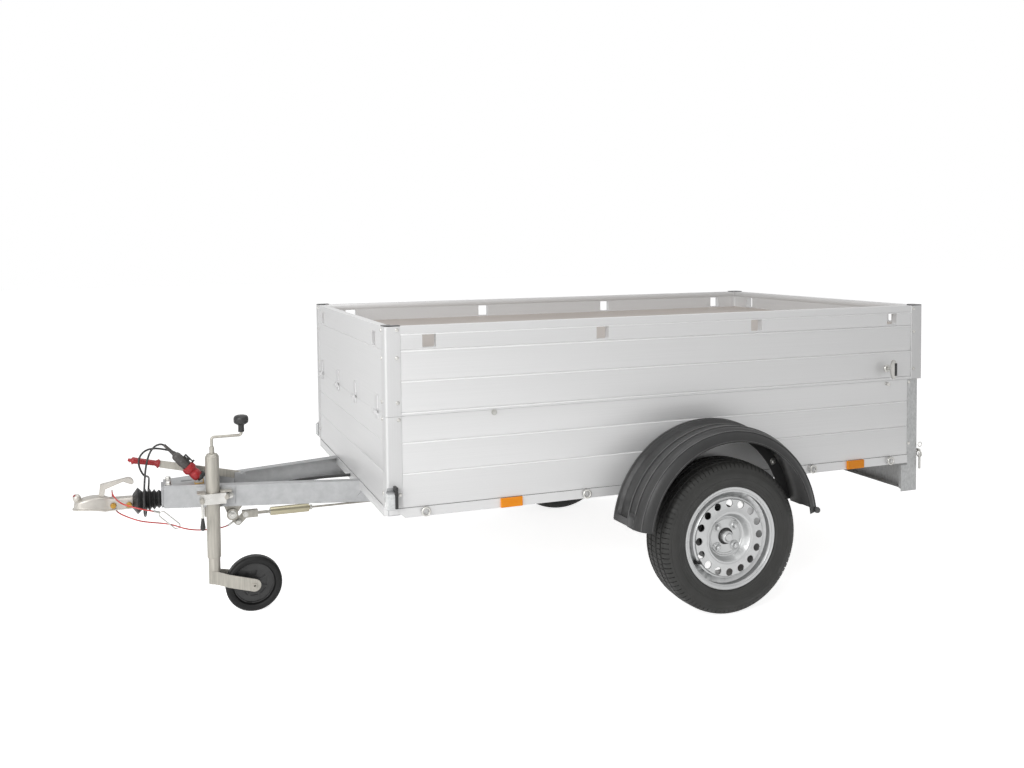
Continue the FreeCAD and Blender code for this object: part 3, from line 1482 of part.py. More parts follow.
def make_handbrake():
    x0 = beam_front_x - S.handle_pivot_behind
    z0 = beam_top + S.handle_pivot_up
    x1 = beam_front_x + S.handle_bend_reach
    z1 = beam_top + S.handle_bend_up
    deep = S.handle_deep / 2
    half = S.handle_thick / 2
    arm = pad("BrakeArm", "XZ", (-half, half), [
        (x0 - deep, z0 - deep), (x0 + deep, z0 - deep), (x1, z1 - deep), (x1 + deep, z1 - deep / 2),
        (x1 + deep, z1 + deep / 2), (x1, z1 + deep), (x0, z0 + deep), (x0 - deep, z0 + deep / 2),
    ])
    pin_x = x0 - S.handle_deep / 2
    hole = rod("BrakeArmHole", "Y", S.rod_radius + S.lug_gap, (-half - S.overrun_cut, half + S.overrun_cut),
               (pin_x, z0))
    keep(cut("BrakeArmBored", arm, hole), "handbrake_lever")
    x2 = beam_front_x + S.handle_end_reach
    z2 = beam_top + S.handle_end_up
    grip = doc.addObject("PartDesign::Body", "BrakeGrip")
    run = math.hypot((x2 - x1).value, (z2 - z1).value)
    lean = math.degrees(math.atan2((x2 - x1).value, (z2 - z1).value))
    radius = S.grip_radius
    length = Size(run, sized(run).text)
    near, full, waist = [deep * share for share in GRIP_FOOT_SHARES]
    add_turn(grip, "BrakeGripTurn", "PartDesign::Revolution", "Z", (sized(0), sized(0)), [
        (near, 0), (near, radius - S.rim_wall), (full, radius), (length / 2, radius - S.rim_wall / 2),
        (length - radius - waist, radius, radius), (length - waist, radius / 2),
        (length, radius / 2), (length, 0),
    ])
    grip.Placement = FreeCAD.Placement(FreeCAD.Vector(), FreeCAD.Rotation(FreeCAD.Vector(0, 1, 0), lean))
    place(grip, x1, 0, z1)
    keep(grip, "handbrake_grip")
    make_brake_gear()


def eye_plate(name, span, eyes):
    """A flat link: round eyes joined by bars as wide as the smaller one, as pads fused together."""
    pieces = [rod(name + "Eye%d" % n, "Y", radius, span, (x, z)) for n, (x, z, radius) in enumerate(eyes)]
    for number, ((x0, z0, r0), (x1, z1, r1)) in enumerate(zip(eyes, eyes[1:])):
        across = FreeCAD.Vector((z1 - z0).value, (x0 - x1).value, 0).normalize()
        pieces.append(pad(name + "Bar%d" % number, "XZ", span, [
            (x0 + r0 * across.x, z0 + r0 * across.y), (x1 + r1 * across.x, z1 + r1 * across.y),
            (x1 - r1 * across.x, z1 - r1 * across.y), (x0 - r0 * across.x, z0 - r0 * across.y),
        ]))
    return fuse(name, *pieces)


def make_brake_gear():
    """The reversing lever under the drawbar, its clevis, the spring canister and the pull rod."""
    x = beam_front_x - S.crank_behind
    z = beam_bottom - S.crank_drop
    roller = S.crank_roller
    thin = S.lug_thick
    cheeks = []
    for sign in (1, -1):
        pair = (sign * thin, sign * thin * 2) if sign > 0 else (-2 * thin, -thin)
        cheeks.append(pad("CrankCheek", "XZ", pair, [
            (x + S.cheek_front, beam_bottom), (x + S.cheek_front, z), (x + S.cheek_front - roller, z),
            (x + S.cheek_front - 2 * roller, beam_bottom - roller), (x + 2 * roller, beam_bottom - roller),
            (x + roller, z), (x - roller, z), (x - S.cheek_rear, beam_bottom - roller),
            (x - S.cheek_rear, beam_bottom),
        ]))
        cheeks.append(rod("CrankCheekEnd", "Y", roller, pair, (x, z)))
    saddle = box("CrankSaddle", (x - S.cheek_rear, x + S.cheek_front), (-2 * thin, 2 * thin),
                 (beam_bottom - thin, beam_bottom))
    pin = rod("CrankPin", "Y", roller / 2, (-S.crank_pin_half, S.crank_pin_half), (x, z))
    lever = eye_plate("CrankLever", (-thin / 2, thin / 2), [
        (x, z, roller), (x - S.crank_lug_back, z - S.crank_lug_drop, S.crank_lug_radius),
        (x - S.clevis_back, rod_z, S.crank_lug_radius),
    ])
    barrel = rod("CrankSeat", "X", S.overrun_radius + S.lug_gap,
                 (x - S.cheek_rear - thin, x + S.cheek_front + thin),
                 (0, overrun_z))
    front = x - S.clevis_back + S.crank_lug_radius
    deep = S.clevis_deep / 2
    clevis = box("Clevis", (spring_front_x + S.clevis_rod, front), (-deep, deep), (rod_z - deep, rod_z + deep))
    slot = box("ClevisSlot", (spring_front_x + S.clevis_rod + deep, front + S.overrun_cut),
               (-thin / 2, thin / 2), (rod_z - deep - S.overrun_cut, rod_z + deep + S.overrun_cut))
    fork = cut("ClevisFork", clevis, slot)
    link = rod("ClevisRod", "X", S.rod_radius + S.rod_radius / 2,
               (spring_front_x, front - S.clevis_rod), (0, rod_z))
    gear = cut("BrakeCrank", fuse("BrakeCrankSolid", *cheeks, saddle, pin, lever), barrel)
    keep(fuse("BrakeGear", gear, fork, link), "brake_bell_crank")
    rim = S.spring_radius
    keep(turned("SpringCan", "X", (0, rod_z), [
        (spring_rear_x, 0), (spring_rear_x, rim / 2), (spring_rear_x + S.rod_radius, rim / 2),
        (spring_rear_x + S.rod_radius, rim), (spring_front_x, rim), (spring_front_x, 0),
    ]), "brake_spring_canister")
    pull_end = axle_x + S.equaliser_ahead
    pull = rod("BrakePull", "X", S.rod_radius, (pull_end, spring_rear_x), (0, rod_z))
    thick = S.equaliser_thick
    bar = pad("Equaliser", "XY", (rod_z - thick / 2, rod_z + thick / 2), [
        (pull_end - thick, -S.equaliser_half), (pull_end, -S.equaliser_half), (pull_end + thick, -thick),
        (pull_end + thick, thick), (pull_end, S.equaliser_half), (pull_end - thick, S.equaliser_half),
    ])
    hook_x = axle_x + S.axle_ahead + S.axle_side / 2
    hook = rod("EqualiserStay", "X", S.rod_radius, (hook_x, pull_end), (0, rod_z))
    keep(fuse("BrakeRod", pull, bar, hook), "brake_rod")


def make_jockey():
    """The leg slides in its clamp, and the fork's tube turns in the leg."""
    x = jockey_x
    y = jockey_y
    at = (x, y)
    radius = S.jockey_tube_radius
    wall = S.jockey_tube_wall
    top = jockey_tube_top
    sleeve = S.jockey_sleeve_radius
    sleeve_top = top + S.jockey_cone_high + S.jockey_sleeve_length
    outline = [
        (S.jockey_tube_bottom, radius - wall), (S.jockey_tube_bottom, radius), (top, radius),
        (top + S.jockey_cone_high, radius - 2 * wall), (top + S.jockey_cone_high, sleeve), (sleeve_top, sleeve),
        (sleeve_top, 0), (top - 2 * wall, 0), (top - 2 * wall, radius - wall),
    ]
    leg = turned("JockeyTube", "Z", at, outline)
    knob_x = x - S.crank_arm_reach
    bend = S.crank_bend
    arm_z = sleeve_top + S.crank_arm_up
    crank = bent_rod("JockeyCrank", y, S.crank_rod_radius, [
        (x, sleeve_top - wall), (x, arm_z - bend, bend), (x - bend, arm_z),
        (knob_x + bend, arm_z, -bend), (knob_x, arm_z + bend), (knob_x, arm_z + bend + wall),
    ])
    keep(fuse("JockeyLeg", leg, crank), "jockey_tube")
    base = arm_z + bend + wall
    widths = [S.knob_radius * share for share in KNOB_WIDTH_SHARES]
    heights = [base + S.knob_height * share for share in KNOB_HEIGHT_SHARES]
    keep(turned("JockeyKnob", "Z", (knob_x, y), [
        (base, 0), (base, widths[0]), (heights[0], widths[1]), (heights[1], widths[2]), (heights[2], widths[3]),
        (heights[3], widths[2]), (base + S.knob_height, widths[0]), (base + S.knob_height, 0),
    ]), "jockey_crank_knob")
    make_fork(x, y, radius - wall - S.jockey_gap)
    make_clamp(x, y)


def make_fork(x, y, stem_radius):
    """The inner tube with two straps that leave its sides, spread, and slope down to the wheel's axle."""
    stem = rod("JockeyStem", "Z", stem_radius, (S.fork_stem_bottom, jockey_tube_top - S.jockey_stem_in), (x, y))
    half = S.jockey_wheel_width / 2 + S.fork_gap
    thick = S.fork_thick
    eye_x = x - S.jockey_wheel_trail
    eye_z = S.jockey_wheel_radius
    lean_sine = sine(S.fork_slope_deg)
    lean_cosine = cosine(S.fork_slope_deg)
    eye = S.fork_eye_radius
    front = x + stem_radius / 2
    upper = (eye_x - eye * lean_sine, eye_z + eye * lean_cosine)
    lower = (eye_x + eye * lean_sine, eye_z - eye * lean_cosine)
    slope = tangent(S.fork_slope_deg)
    tall = eye_z + S.jockey_wheel_radius
    side = pad("ForkSide", "XZ", (y - 2 * half, y + 2 * half), [
        (front, lower[1] + (front - lower[0]) * slope), (front, upper[1] + (front - upper[0]) * slope),
        (upper[0], upper[1], eye), (eye_x - eye * lean_cosine, eye_z - eye * lean_sine, eye),
        (lower[0], lower[1]),
    ])
    straps = []
    for tag, sign in (("Left", 1), ("Right", -1)):
        root = y + sign * (stem_radius - thick / 2)
        out = y + sign * half
        straps.append(pad("ForkStrap" + tag, "XY", (sized(0), tall), [
            (front, root), (front, root + sign * thick), (x - stem_radius / 2, root + sign * thick),
            (x - S.fork_spread_behind, out + sign * thick), (eye_x - 2 * eye, out + sign * thick),
            (eye_x - 2 * eye, out), (x - S.fork_spread_behind, out), (x - stem_radius / 2, root),
        ]))
    arms = common("ForkArms", fuse("ForkStraps", *straps), side)
    end = half + 2 * thick
    axle = rod("ForkAxle", "Y", S.jockey_axle_radius, (y - end, y + end), (eye_x, eye_z))
    hole = rod("ForkAxleBore", "Y", S.jockey_axle_radius / 2,
               (y + half, y + end + S.overrun_cut), (eye_x, eye_z))
    hole_two = rod("ForkAxleBoreTwo", "Y", S.jockey_axle_radius / 2, (y - end - S.overrun_cut, y - half),
                   (eye_x, eye_z))
    keep(cut("JockeyFork", fuse("JockeyForkSolid", stem, arms, axle), hole, hole_two), "jockey_fork")
    make_jockey_wheel(eye_x, eye_z, y)


def make_jockey_wheel(x, z, y):
    """A solid tyre on a moulded hub, whose windows are sunk from both sides to a thin web."""
    half = S.jockey_wheel_width / 2
    bore = S.jockey_axle_radius + S.jockey_axle_gap
    rim = S.jockey_rim_radius
    hub = S.jockey_hub_radius
    web = S.jockey_web / 2
    tread = S.jockey_wheel_radius
    bend = half / 2
    lip = S.jockey_rim_lip
    wheel = turned("JockeyWheel", "Y", (x, z), [
        (y - half, bore), (y - half, hub), (y - web, hub), (y - web, rim - lip), (y - web - lip, rim - lip),
        (y - web - lip, rim), (y - half + lip, rim + lip),
        (y - half, tread - bend, -bend), (y - half + bend, tread),
        (y + half - bend, tread, -bend), (y + half, tread - bend), (y + half - lip, rim + lip),
        (y + web + lip, rim), (y + web + lip, rim - lip), (y + web, rim - lip), (y + web, hub),
        (y + half, hub), (y + half, bore),
    ])
    near = hub + lip
    far = S.jockey_window_radius
    spread = tangent(S.jockey_window_deg)
    for tag, span in (("Near", (y + S.jockey_skin / 2, y + half)), ("Far", (y - half, y - S.jockey_skin / 2))):
        sketch = sketch_on(wheel, "Window%s_sketch" % tag, "XZ", (x, z, -span[1]), [[
            (near * spread, near), (far * spread, far), (-far * spread, far), (-near * spread, near),
        ]])
        window = wheel.newObject("PartDesign::Pocket", "Window" + tag)
        window.Profile = (sketch, [""])
        window.Reversed = True
        tie(window, "Length", span[1] - span[0])
        doc.recompute()
        pattern(wheel, "Windows" + tag, window, sketch, S.jockey_spokes)
    keep(wheel, "jockey_wheel")


def make_clamp(x, y):
    """A square clamp block round the leg, and the screw with its hanging lever."""
    long = S.clamp_half_length
    radius = S.jockey_tube_radius + S.clamp_slack
    bottom = clamp_bottom
    top = bottom + S.clamp_height
    face = y + radius + S.clamp_wall
    block = box("ClampBlock", (x - long, x + long), (y - long - radius, face), (bottom, top))
    bore = rod("ClampBore", "Z", radius, (bottom - S.overrun_cut, top + S.overrun_cut), (x, y))
    swath = pad("ClampSwath", "XY", (bottom - S.overrun_cut, top + S.overrun_cut),
                beam_plan(-S.mount_thick, S.clamp_behind, beam_front_x, front_x))
    body = cut("ClampBody", block, bore, swath)
    lever_x = x + S.clamp_lever_reach
    lever_y = y + S.clamp_lever_out
    mid = (bottom + top) / 2
    hinge = S.clamp_lever_radius
    screw = rod("ClampScrew", "Y", hinge, (face - S.clamp_wall / 2, lever_y), (lever_x, mid))
    washer = rod("ClampWasher", "Y", 2 * hinge, (face - S.clamp_wall / 2, face + hinge), (lever_x, mid))
    grip_top = mid - S.clamp_lever_drop
    lever = rod("ClampLever", "Z", hinge, (grip_top, mid + hinge), (lever_x, lever_y))
    keep(fuse("Clamp", body, screw, washer, lever), "jockey_clamp")
    thick = S.clamp_grip_radius
    length = S.clamp_grip_length
    keep(turned("ClampGrip", "Z", (lever_x, lever_y), [
        (grip_top - length, 0), (grip_top - length, thick / 3, thick * GRIP_ROUND_SHARE),
        (grip_top - length * GRIP_BELLY_SHARE, thick), (grip_top, hinge), (grip_top, 0),
    ]), "jockey_clamp_grip")


def make_plug():
    """The plug stands leaning in its parking socket on the drawbar's top plate."""
    foot = (beam_front_x - S.plug_behind, S.plug_half, beam_top + S.plug_foot_up)
    lean = FreeCAD.Rotation(FreeCAD.Vector(0, 1, 0), S.plug_lean_deg.value)
    length = S.holder_length
    holder = doc.addObject("PartDesign::Body", "PlugHolder")
    wall = S.rim_wall
    bulge = S.holder_radius
    add_turn(holder, "PlugHolderTurn", "PartDesign::Revolution", "Z", (sized(0), sized(0)), [
        (wall, 0), (wall, bulge / 2), (length / 3, bulge - 2 * wall), (length / 2, bulge),
        (length - wall, bulge),
        (length, bulge - wall), (length, 0),
    ])
    holder.Placement = FreeCAD.Placement(FreeCAD.Vector(), lean)
    place(holder, *foot)
    post = S.holder_post
    stand = box("HolderStand", (foot[0] - post, foot[0] + post), (foot[1] - post, foot[1] + post),
                (beam_top + S.plate_thick, foot[2] + 2 * post))
    keep(fuse("HolderWhole", holder, stand), "plug_holder")
    plug = doc.addObject("PartDesign::Body", "Plug")
    ring_end = length + S.plug_ring_length
    end = S.plug_length
    radius = S.plug_radius
    gland = S.gland_radius
    add_turn(plug, "PlugTurn", "PartDesign::Revolution", "Z", (sized(0), sized(0)), [
        (length, 0), (length, S.plug_ring_radius), (ring_end, S.plug_ring_radius), (ring_end, radius),
        (end - radius, radius), (end, gland + gland / 3), (end + S.gland_length, gland - gland / 3),
        (end + S.gland_length, 0),
    ])
    plug.Placement = FreeCAD.Placement(FreeCAD.Vector(), lean)
    place(plug, *foot)
    keep(plug, "electric_plug")


# Loose cables, as points ahead of the axle, to the left of the middle and above the ground
ELECTRIC_ROUTE = [
    (1857.8, 50, 609.9), (1866, 50, 618.7), (1879.2, 50, 623.5), (1893, 50.5, 621.1), (1903.7, 51, 612.1),
    (1912.2, 52, 596.2), (1919.4, 54, 571.2), (1924.6, 57, 541.7), (1928.5, 61, 510), (1931, 66, 478),
    (1933, 69, 446), (1934, 66, 413), (1934, 52, 381), (1932, 26, 357), (1929, -7, 349), (1927, -39, 360),
    (1923, -61, 386), (1919, -68, 420), (1916, -60, 454), (1915, -37, 481), (1919, -5, 494), (1930, 24, 502),
    (1940, 38, 520), (1949, 42, 548), (1946, 40, 576), (1926, 35, 597), (1896, 27, 607), (1862, 20, 604),
    (1828, 17, 593), (1797, 16, 570), (1769, 15, 543), (1744, 15.5, 512), (1718, 20, 488), (1699, 34, 463),
    (1691, 54, 441), (1682, 75, 430), (1664, 99.1, 424), (1640.3, 105.4, 424),
]

BREAKAWAY_ROUTE = [
    (1625.3, 0, 296.8), (1646, 1.5, 284), (1670, 8, 281), (1700, 21, 283), (1733, 38, 288), (1768, 53, 296),
    (1804, 57, 307), (1840, 39, 320), (1874, 29, 326), (1910, 30, 333), (1950, 33, 343), (1990, 18, 358),
    (2020, -8, 369), (2034, -36, 380), (2040, -52, 404), (2041, -53, 434), (2041, -35, 459), (2040, -6, 463),
    (2039, 25, 461), (2032, 47, 441), (2012, 55, 419), (1978, 60, 405), (1940, 72, 394), (1904, 64, 382),
    (1883.6, 50, 372.1),
]

HARNESS_ROUTE = [
    (1640, 105.5, 424), (1590, 118.8, 424), (1540, 112, 429), (1488, 86, 435), (1434, 60, 440), (1376, 45, 442),
    (1316, 42, 443), (1256, 47, 444), (1183, 57, 445),
]

HOOK_ENDS = [(1818, 48, 309), (1881, 50, 371)]

def cable(name, route, radius):
    """A tube along straight runs joined by tangent arcs, each as large as its two runs allow."""
    points = [FreeCAD.Vector(axle_x.value + p[0], p[1], p[2]) for p in route]
    edges = []
    radii = []
    start = points[0]
    for before, corner, after in zip(points, points[1:], points[2:]):
        first = corner - before
        second = after - corner
        half_turn = first.getAngle(second) / 2
        reach = RUN_SHARE * min(first.Length, second.Length)
        enter = corner - first.normalize() * reach
        leave = corner + second.normalize() * reach
        bend = reach / math.tan(half_turn)
        radii.append(bend)
        inward = (enter + leave) / 2 - corner
        depth = bend / math.cos(half_turn) - bend
        middle = corner + inward.normalize() * depth
        edges.append(Part.LineSegment(start, enter).toShape())
        edges.append(Part.Arc(enter, middle, leave).toShape())
        start = leave
    edges.append(Part.LineSegment(start, points[-1]).toShape())
    path = Part.Wire(edges)
    ahead = points[1] - points[0]
    section = Part.Wire([Part.makeCircle(radius.value, points[0], ahead)])
    shape = path.makePipeShell([section], True, False)
    solid = shape if shape.ShapeType == "Solid" else Part.Solid(shape)
    expected = math.pi * radius.value ** 2 * path.Length
    print("%s: %.0f mm long, smallest radius %.1f mm, volume %.4f of its section times its length"
          % (name, path.Length, min(radii), solid.Volume / expected))
    piece = doc.addObject("Part::Feature", name.title().replace("_", ""))
    piece.Shape = solid
    piece.Placement = FreeCAD.Placement()
    return keep(piece, name)


def make_hook():
    """The breakaway cable's snap hook: a wire link that holds the cable's own run."""
    far = FreeCAD.Vector(axle_x.value + HOOK_ENDS[0][0], *HOOK_ENDS[0][1:])
    near = FreeCAD.Vector(axle_x.value + HOOK_ENDS[1][0], *HOOK_ENDS[1][1:])
    along = (near - far).normalize()
    side = FreeCAD.Vector(0, 1, 0).cross(along).normalize() * S.hook_half.value
    start = far + along * S.hook_half.value
    end = near - along * S.hook_half.value
    path = Part.Wire([
        Part.LineSegment(start + side, end + side).toShape(),
        Part.Arc(end + side, near, end - side).toShape(),
        Part.LineSegment(end - side, start - side).toShape(),
        Part.Arc(start - side, far, start + side).toShape(),
    ])
    section = Part.Wire([Part.makeCircle(S.hook_wire.value, start + side, along)])
    shape = path.makePipeShell([section], True, False)
    piece = doc.addObject("Part::Feature", "SnapHook")
    piece.Shape = shape if shape.ShapeType == "Solid" else Part.Solid(shape)
    piece.Placement = FreeCAD.Placement()
    keep(piece, "breakaway_hook")


def make_cables():
    make_hook()
    cable("electric_cable", ELECTRIC_ROUTE, S.electric_cable_radius)
    cable("breakaway_cable", BREAKAWAY_ROUTE, S.breakaway_radius)
    cable("harness_cable", HARNESS_ROUTE, S.harness_radius)


def check_and_export():
    doc.recompute()
    for thing in doc.Objects:
        if "Invalid" in thing.State or "Error" in thing.State:
            raise RuntimeError("%s is in state %s" % (thing.Name, thing.State))
    os.makedirs("parts", exist_ok=True)
    for name, thing in nodes.items():
        shape = thing.Shape
        if shape.isNull() or not shape.isValid() or not shape.Solids:
            raise RuntimeError(name + " has no valid shape")
    for name, thing in nodes.items():
        thing.Shape.exportStep("parts/%s.step" % name)
    print("%d sub-parts" % len(nodes))


make_box_walls()
make_posts()
make_floor_frame()
make_drawbar()
make_axle()
make_wheel("Left", False)
make_wheel("Right", True)
make_guards()
make_lid()
make_hinges()
make_latches()
make_tailgate()
make_lights()
make_overrun()
make_coupling()
make_handbrake()
make_jockey()
make_plug()
make_cables()
check_and_export()
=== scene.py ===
import bpy
import bmesh
import json
import math
from mathutils import Matrix, Vector


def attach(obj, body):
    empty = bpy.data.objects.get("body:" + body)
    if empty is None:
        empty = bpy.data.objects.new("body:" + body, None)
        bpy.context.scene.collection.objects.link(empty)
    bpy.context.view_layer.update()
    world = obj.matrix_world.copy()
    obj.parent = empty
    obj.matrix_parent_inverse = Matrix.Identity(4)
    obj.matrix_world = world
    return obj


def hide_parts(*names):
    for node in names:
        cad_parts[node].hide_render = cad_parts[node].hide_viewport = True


# A braked utility trailer with a hinged hard top, standing on its wheels and jockey wheel.
# The scene is in metres, +X towards the coupling, +Y to the trailer's left, +Z up, the floor at zero.
# Unless a line says otherwise, sizes are in millimetres, and places in millimetres ahead of the axle,
# to the left of the middle and above the floor.

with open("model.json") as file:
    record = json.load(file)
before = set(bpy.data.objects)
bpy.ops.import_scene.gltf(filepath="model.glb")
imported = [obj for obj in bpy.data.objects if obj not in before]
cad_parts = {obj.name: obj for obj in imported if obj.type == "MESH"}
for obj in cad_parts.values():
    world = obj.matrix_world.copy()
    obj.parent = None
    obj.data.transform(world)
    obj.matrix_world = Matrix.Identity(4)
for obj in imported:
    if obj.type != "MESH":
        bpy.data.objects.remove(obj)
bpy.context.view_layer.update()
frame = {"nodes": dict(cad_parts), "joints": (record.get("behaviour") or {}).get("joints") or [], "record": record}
joints = {joint["name"]: joint for joint in frame["joints"]}

MM = 0.001
axle_x, axle_z = joints["wheel_left_spin"]["pos_m"][0::2]
jockey_x, jockey_z = joints["jockey_wheel_spin"]["pos_m"][0::2]
SIDES = (1, -1)
WHEEL_SIDES = {"left": 1, "right": -1}
AHEAD = (1, 0, 0)
BEHIND = (-1, 0, 0)
LEFT = (0, 1, 0)
UP = (0, 0, 1)


# Camera

SENSOR_WIDTH = 36
FOCAL_PX = 986.54
IMAGE_WIDTH = 1024
IMAGE_HEIGHT = 768
HORIZON_PX = 288.71
# In metres from the axle, and the directions in degrees
EYE_FROM_AXLE = (1.91912, 3.76664, 1.32455)
FARTHEST = 100
LOOK_AZIMUTH = 159.447
LOOK_ELEVATION = 2.687
LOOK_ROLL = -0.608


def make_camera():
    """The camera that the photo was taken with, as solved from the trailer's sizes."""
    data = bpy.data.cameras.new("camera")
    data.sensor_width = SENSOR_WIDTH
    data.lens = FOCAL_PX * data.sensor_width / IMAGE_WIDTH
    data.shift_y = (HORIZON_PX - IMAGE_HEIGHT / 2) / IMAGE_WIDTH
    data.clip_end = FARTHEST
    camera = bpy.data.objects.new("camera", data)
    bpy.context.scene.collection.objects.link(camera)
    azimuth = math.radians(LOOK_AZIMUTH)
    rise = math.radians(LOOK_ELEVATION)
    level = math.cos(rise)
    back = Vector((math.sin(azimuth) * level, -math.cos(azimuth) * level, math.sin(rise)))
    right = (-back).cross(Vector(UP)).normalized()
    up = right.cross(-back)
    roll = math.radians(LOOK_ROLL)
    tilted_right = right * math.cos(roll) + up * math.sin(roll)
    tilted_up = up * math.cos(roll) - right * math.sin(roll)
    turn = Matrix((tilted_right, tilted_up, back)).transposed().to_4x4()
    eye = Vector(EYE_FROM_AXLE) + Vector((axle_x, 0, 0))
    camera.matrix_world = Matrix.Translation(eye) @ turn
    bpy.context.scene.camera = camera


# Materials

def display(red, green, blue):
    """A colour given as it looks on a display, 0 to 255, as the linear numbers that a shader takes."""
    levels = (red, green, blue)
    linear = [((c / 255 + 0.055) / 1.055) ** 2.4 if c > 10 else c / 255 / 12.92 for c in levels]
    return (*linear, 1)


def grey(level):
    """A neutral colour given in the same way."""
    return display(level, level, level)


class Finish:
    """A material and the few node chains that its colour, gloss and relief are made of."""

    def __init__(self, name, metallic, roughness, **plain):
        self.material = bpy.data.materials.new(name)
        self.material.use_nodes = True
        self.tree = self.material.node_tree
        self.shader = self.tree.nodes["Principled BSDF"]
        self.set("Metallic", metallic)
        self.set("Roughness", roughness)
        for socket, value in plain.items():
            self.set(socket.replace("_", " "), value)

    def set(self, socket, value):
        """A plain value for one of the shader's inputs."""
        self.shader.inputs[socket].default_value = value

    def node(self, kind):
        """A new node of a kind."""
        return self.tree.nodes.new("ShaderNode" + kind)

    def join(self, out, into):
        """A link from one node to another."""
        self.tree.links.new(out, into)

    def place(self, stretch):
        """The piece's own coordinates, stretched."""
        source = self.node("TexCoord")
        mapping = self.node("Mapping")
        mapping.inputs["Scale"].default_value = stretch
        self.join(source.outputs["Object"], mapping.inputs["Vector"])
        return mapping.outputs["Vector"]

    def cloud(self, scale, stretch=(1, 1, 1), detail=3.0, rough=0.55):
        """Soft random mottling between 0 and 1."""
        noise = self.node("TexNoise")
        noise.inputs["Scale"].default_value = scale
        noise.inputs["Detail"].default_value = detail
        noise.inputs["Roughness"].default_value = rough
        self.join(self.place(stretch), noise.inputs["Vector"])
        return noise.outputs["Fac"]

    def cells(self, scale):
        """Small random cells, as of a mesh or of prisms, darkest in their middles."""
        voronoi = self.node("TexVoronoi")
        voronoi.inputs["Scale"].default_value = scale
        self.join(self.place((1, 1, 1)), voronoi.inputs["Vector"])
        return voronoi.outputs["Distance"]

    def spread(self, value, low, high, to_low, to_high):
        """A value between low and high, spread over a new range."""
        rescale = self.node("MapRange")
        rescale.inputs["From Min"].default_value = low
        rescale.inputs["From Max"].default_value = high
        rescale.inputs["To Min"].default_value = to_low
        rescale.inputs["To Max"].default_value = to_high
        self.join(value, rescale.inputs["Value"])
        return rescale.outputs["Result"]

    def colours(self, value, dark, light, low=0.3, high=0.7):
        """The base colour, from dark to light as the value rises."""
        ramp = self.node("ValToRGB")
        ramp.color_ramp.elements[0].position = low
        ramp.color_ramp.elements[0].color = dark
        ramp.color_ramp.elements[1].position = high
        ramp.color_ramp.elements[1].color = light
        self.join(value, ramp.inputs["Fac"])
        self.join(ramp.outputs["Color"], self.shader.inputs["Base Color"])

    def gloss(self, value, low, high):
        """The roughness, from low to high as the value rises."""
        self.join(self.spread(value, 0.3, 0.7, low, high), self.shader.inputs["Roughness"])

    def relief(self, value, depth, strength):
        """Raise and sink the surface by a height in metres."""
        bump = self.node("Bump")
        bump.inputs["Distance"].default_value = depth
        bump.inputs["Strength"].default_value = strength
        self.join(value, bump.inputs["Height"])
        self.join(bump.outputs["Normal"], self.shader.inputs["Normal"])


def planks():
    """Natural anodised planks: fine drawn lines along the length, a soft satin sheen."""
    finish = Finish("planks", 0.4, 0.46)
    lines = finish.cloud(30, (0.05, 0.05, 30), 4, 0.6)
    patches = finish.cloud(0.9, (1, 1, 3), 2)
    finish.colours(lines, grey(219), grey(226), 0.25, 0.75)
    finish.gloss(patches, 0.42, 0.5)
    finish.relief(lines, 0.0001, 0.25)
    return finish.material


def painted_highlight():
    """The bead along a plank's edge, painted brighter than its face as a highlight."""
    finish = Finish("painted_highlight", 0.2, 0.34)
    lines = finish.cloud(30, (0.05, 0.05, 30), 3)
    finish.colours(lines, grey(246), grey(254), 0.25, 0.75)
    finish.relief(lines, 0.0001, 0.15)
    return finish.material


def upright_profile():
    """Natural anodised corner profiles, drawn the other way."""
    finish = Finish("upright_profile", 0.3, 0.6, Specular_IOR_Level=0.4)
    lines = finish.cloud(30, (30, 30, 0.06), 4, 0.6)
    finish.colours(lines, grey(214), grey(222), 0.25, 0.75)
    finish.gloss(finish.cloud(3, (1, 1, 0.4)), 0.56, 0.64)
    finish.relief(lines, 0.0001, 0.25)
    return finish.material


def galvanised():
    """Hot-dip zinc: pale grey, with a faint mottle."""
    finish = Finish("galvanised", 0.45, 0.46)
    crystals = finish.cloud(34, detail=5, rough=0.62)
    finish.colours(crystals, display(160, 161, 162), display(178, 179, 180), 0.25, 0.75)
    finish.gloss(finish.cloud(9), 0.42, 0.54)
    finish.relief(finish.cloud(160, detail=3), 0.0002, 0.3)
    return finish.material


def speckled_zinc():
    """Hot-dip zinc on rolled steel, with a spangle of small grey flecks."""
    finish = Finish("speckled_zinc", 0.45, 0.5)
    flecks = finish.cloud(120, (1, 1, 0.6), 4, 0.7)
    finish.colours(flecks, display(170, 171, 171), display(204, 205, 205), 0.3, 0.7)
    finish.gloss(flecks, 0.42, 0.58)
    finish.relief(flecks, 0.0003, 0.35)
    return finish.material


def zinc_plate():
    """Bright zinc plate on small steel pieces."""
    finish = Finish("zinc_plate", 0.85, 0.3)
    finish.colours(finish.cloud(14), display(176, 175, 171), display(206, 205, 201))
    finish.gloss(finish.cloud(40), 0.24, 0.38)
    finish.relief(finish.cloud(260, detail=2), 0.0002, 0.25)
    return finish.material


def satin_zinc():
    """Dull zinc plate on drawn tube and strip, a little warm."""
    finish = Finish("satin_zinc", 0.55, 0.44)
    streaks = finish.cloud(26, (6, 6, 0.4), 4)
    finish.colours(streaks, display(160, 157, 149), display(184, 180, 171))
    finish.gloss(finish.cloud(30), 0.38, 0.52)
    finish.relief(finish.cloud(220, detail=3), 0.0002, 0.25)
    return finish.material


def yellow_zinc():
    """Yellow passivated steel with its faint green and brown bloom."""
    finish = Finish("yellow_zinc", 0.75, 0.34)
    bloom = finish.cloud(9, (0.5, 2, 2), 4)
    finish.colours(bloom, display(156, 150, 126), display(196, 189, 164), 0.25, 0.75)
    finish.relief(finish.cloud(200, detail=2), 0.0002, 0.2)
    return finish.material


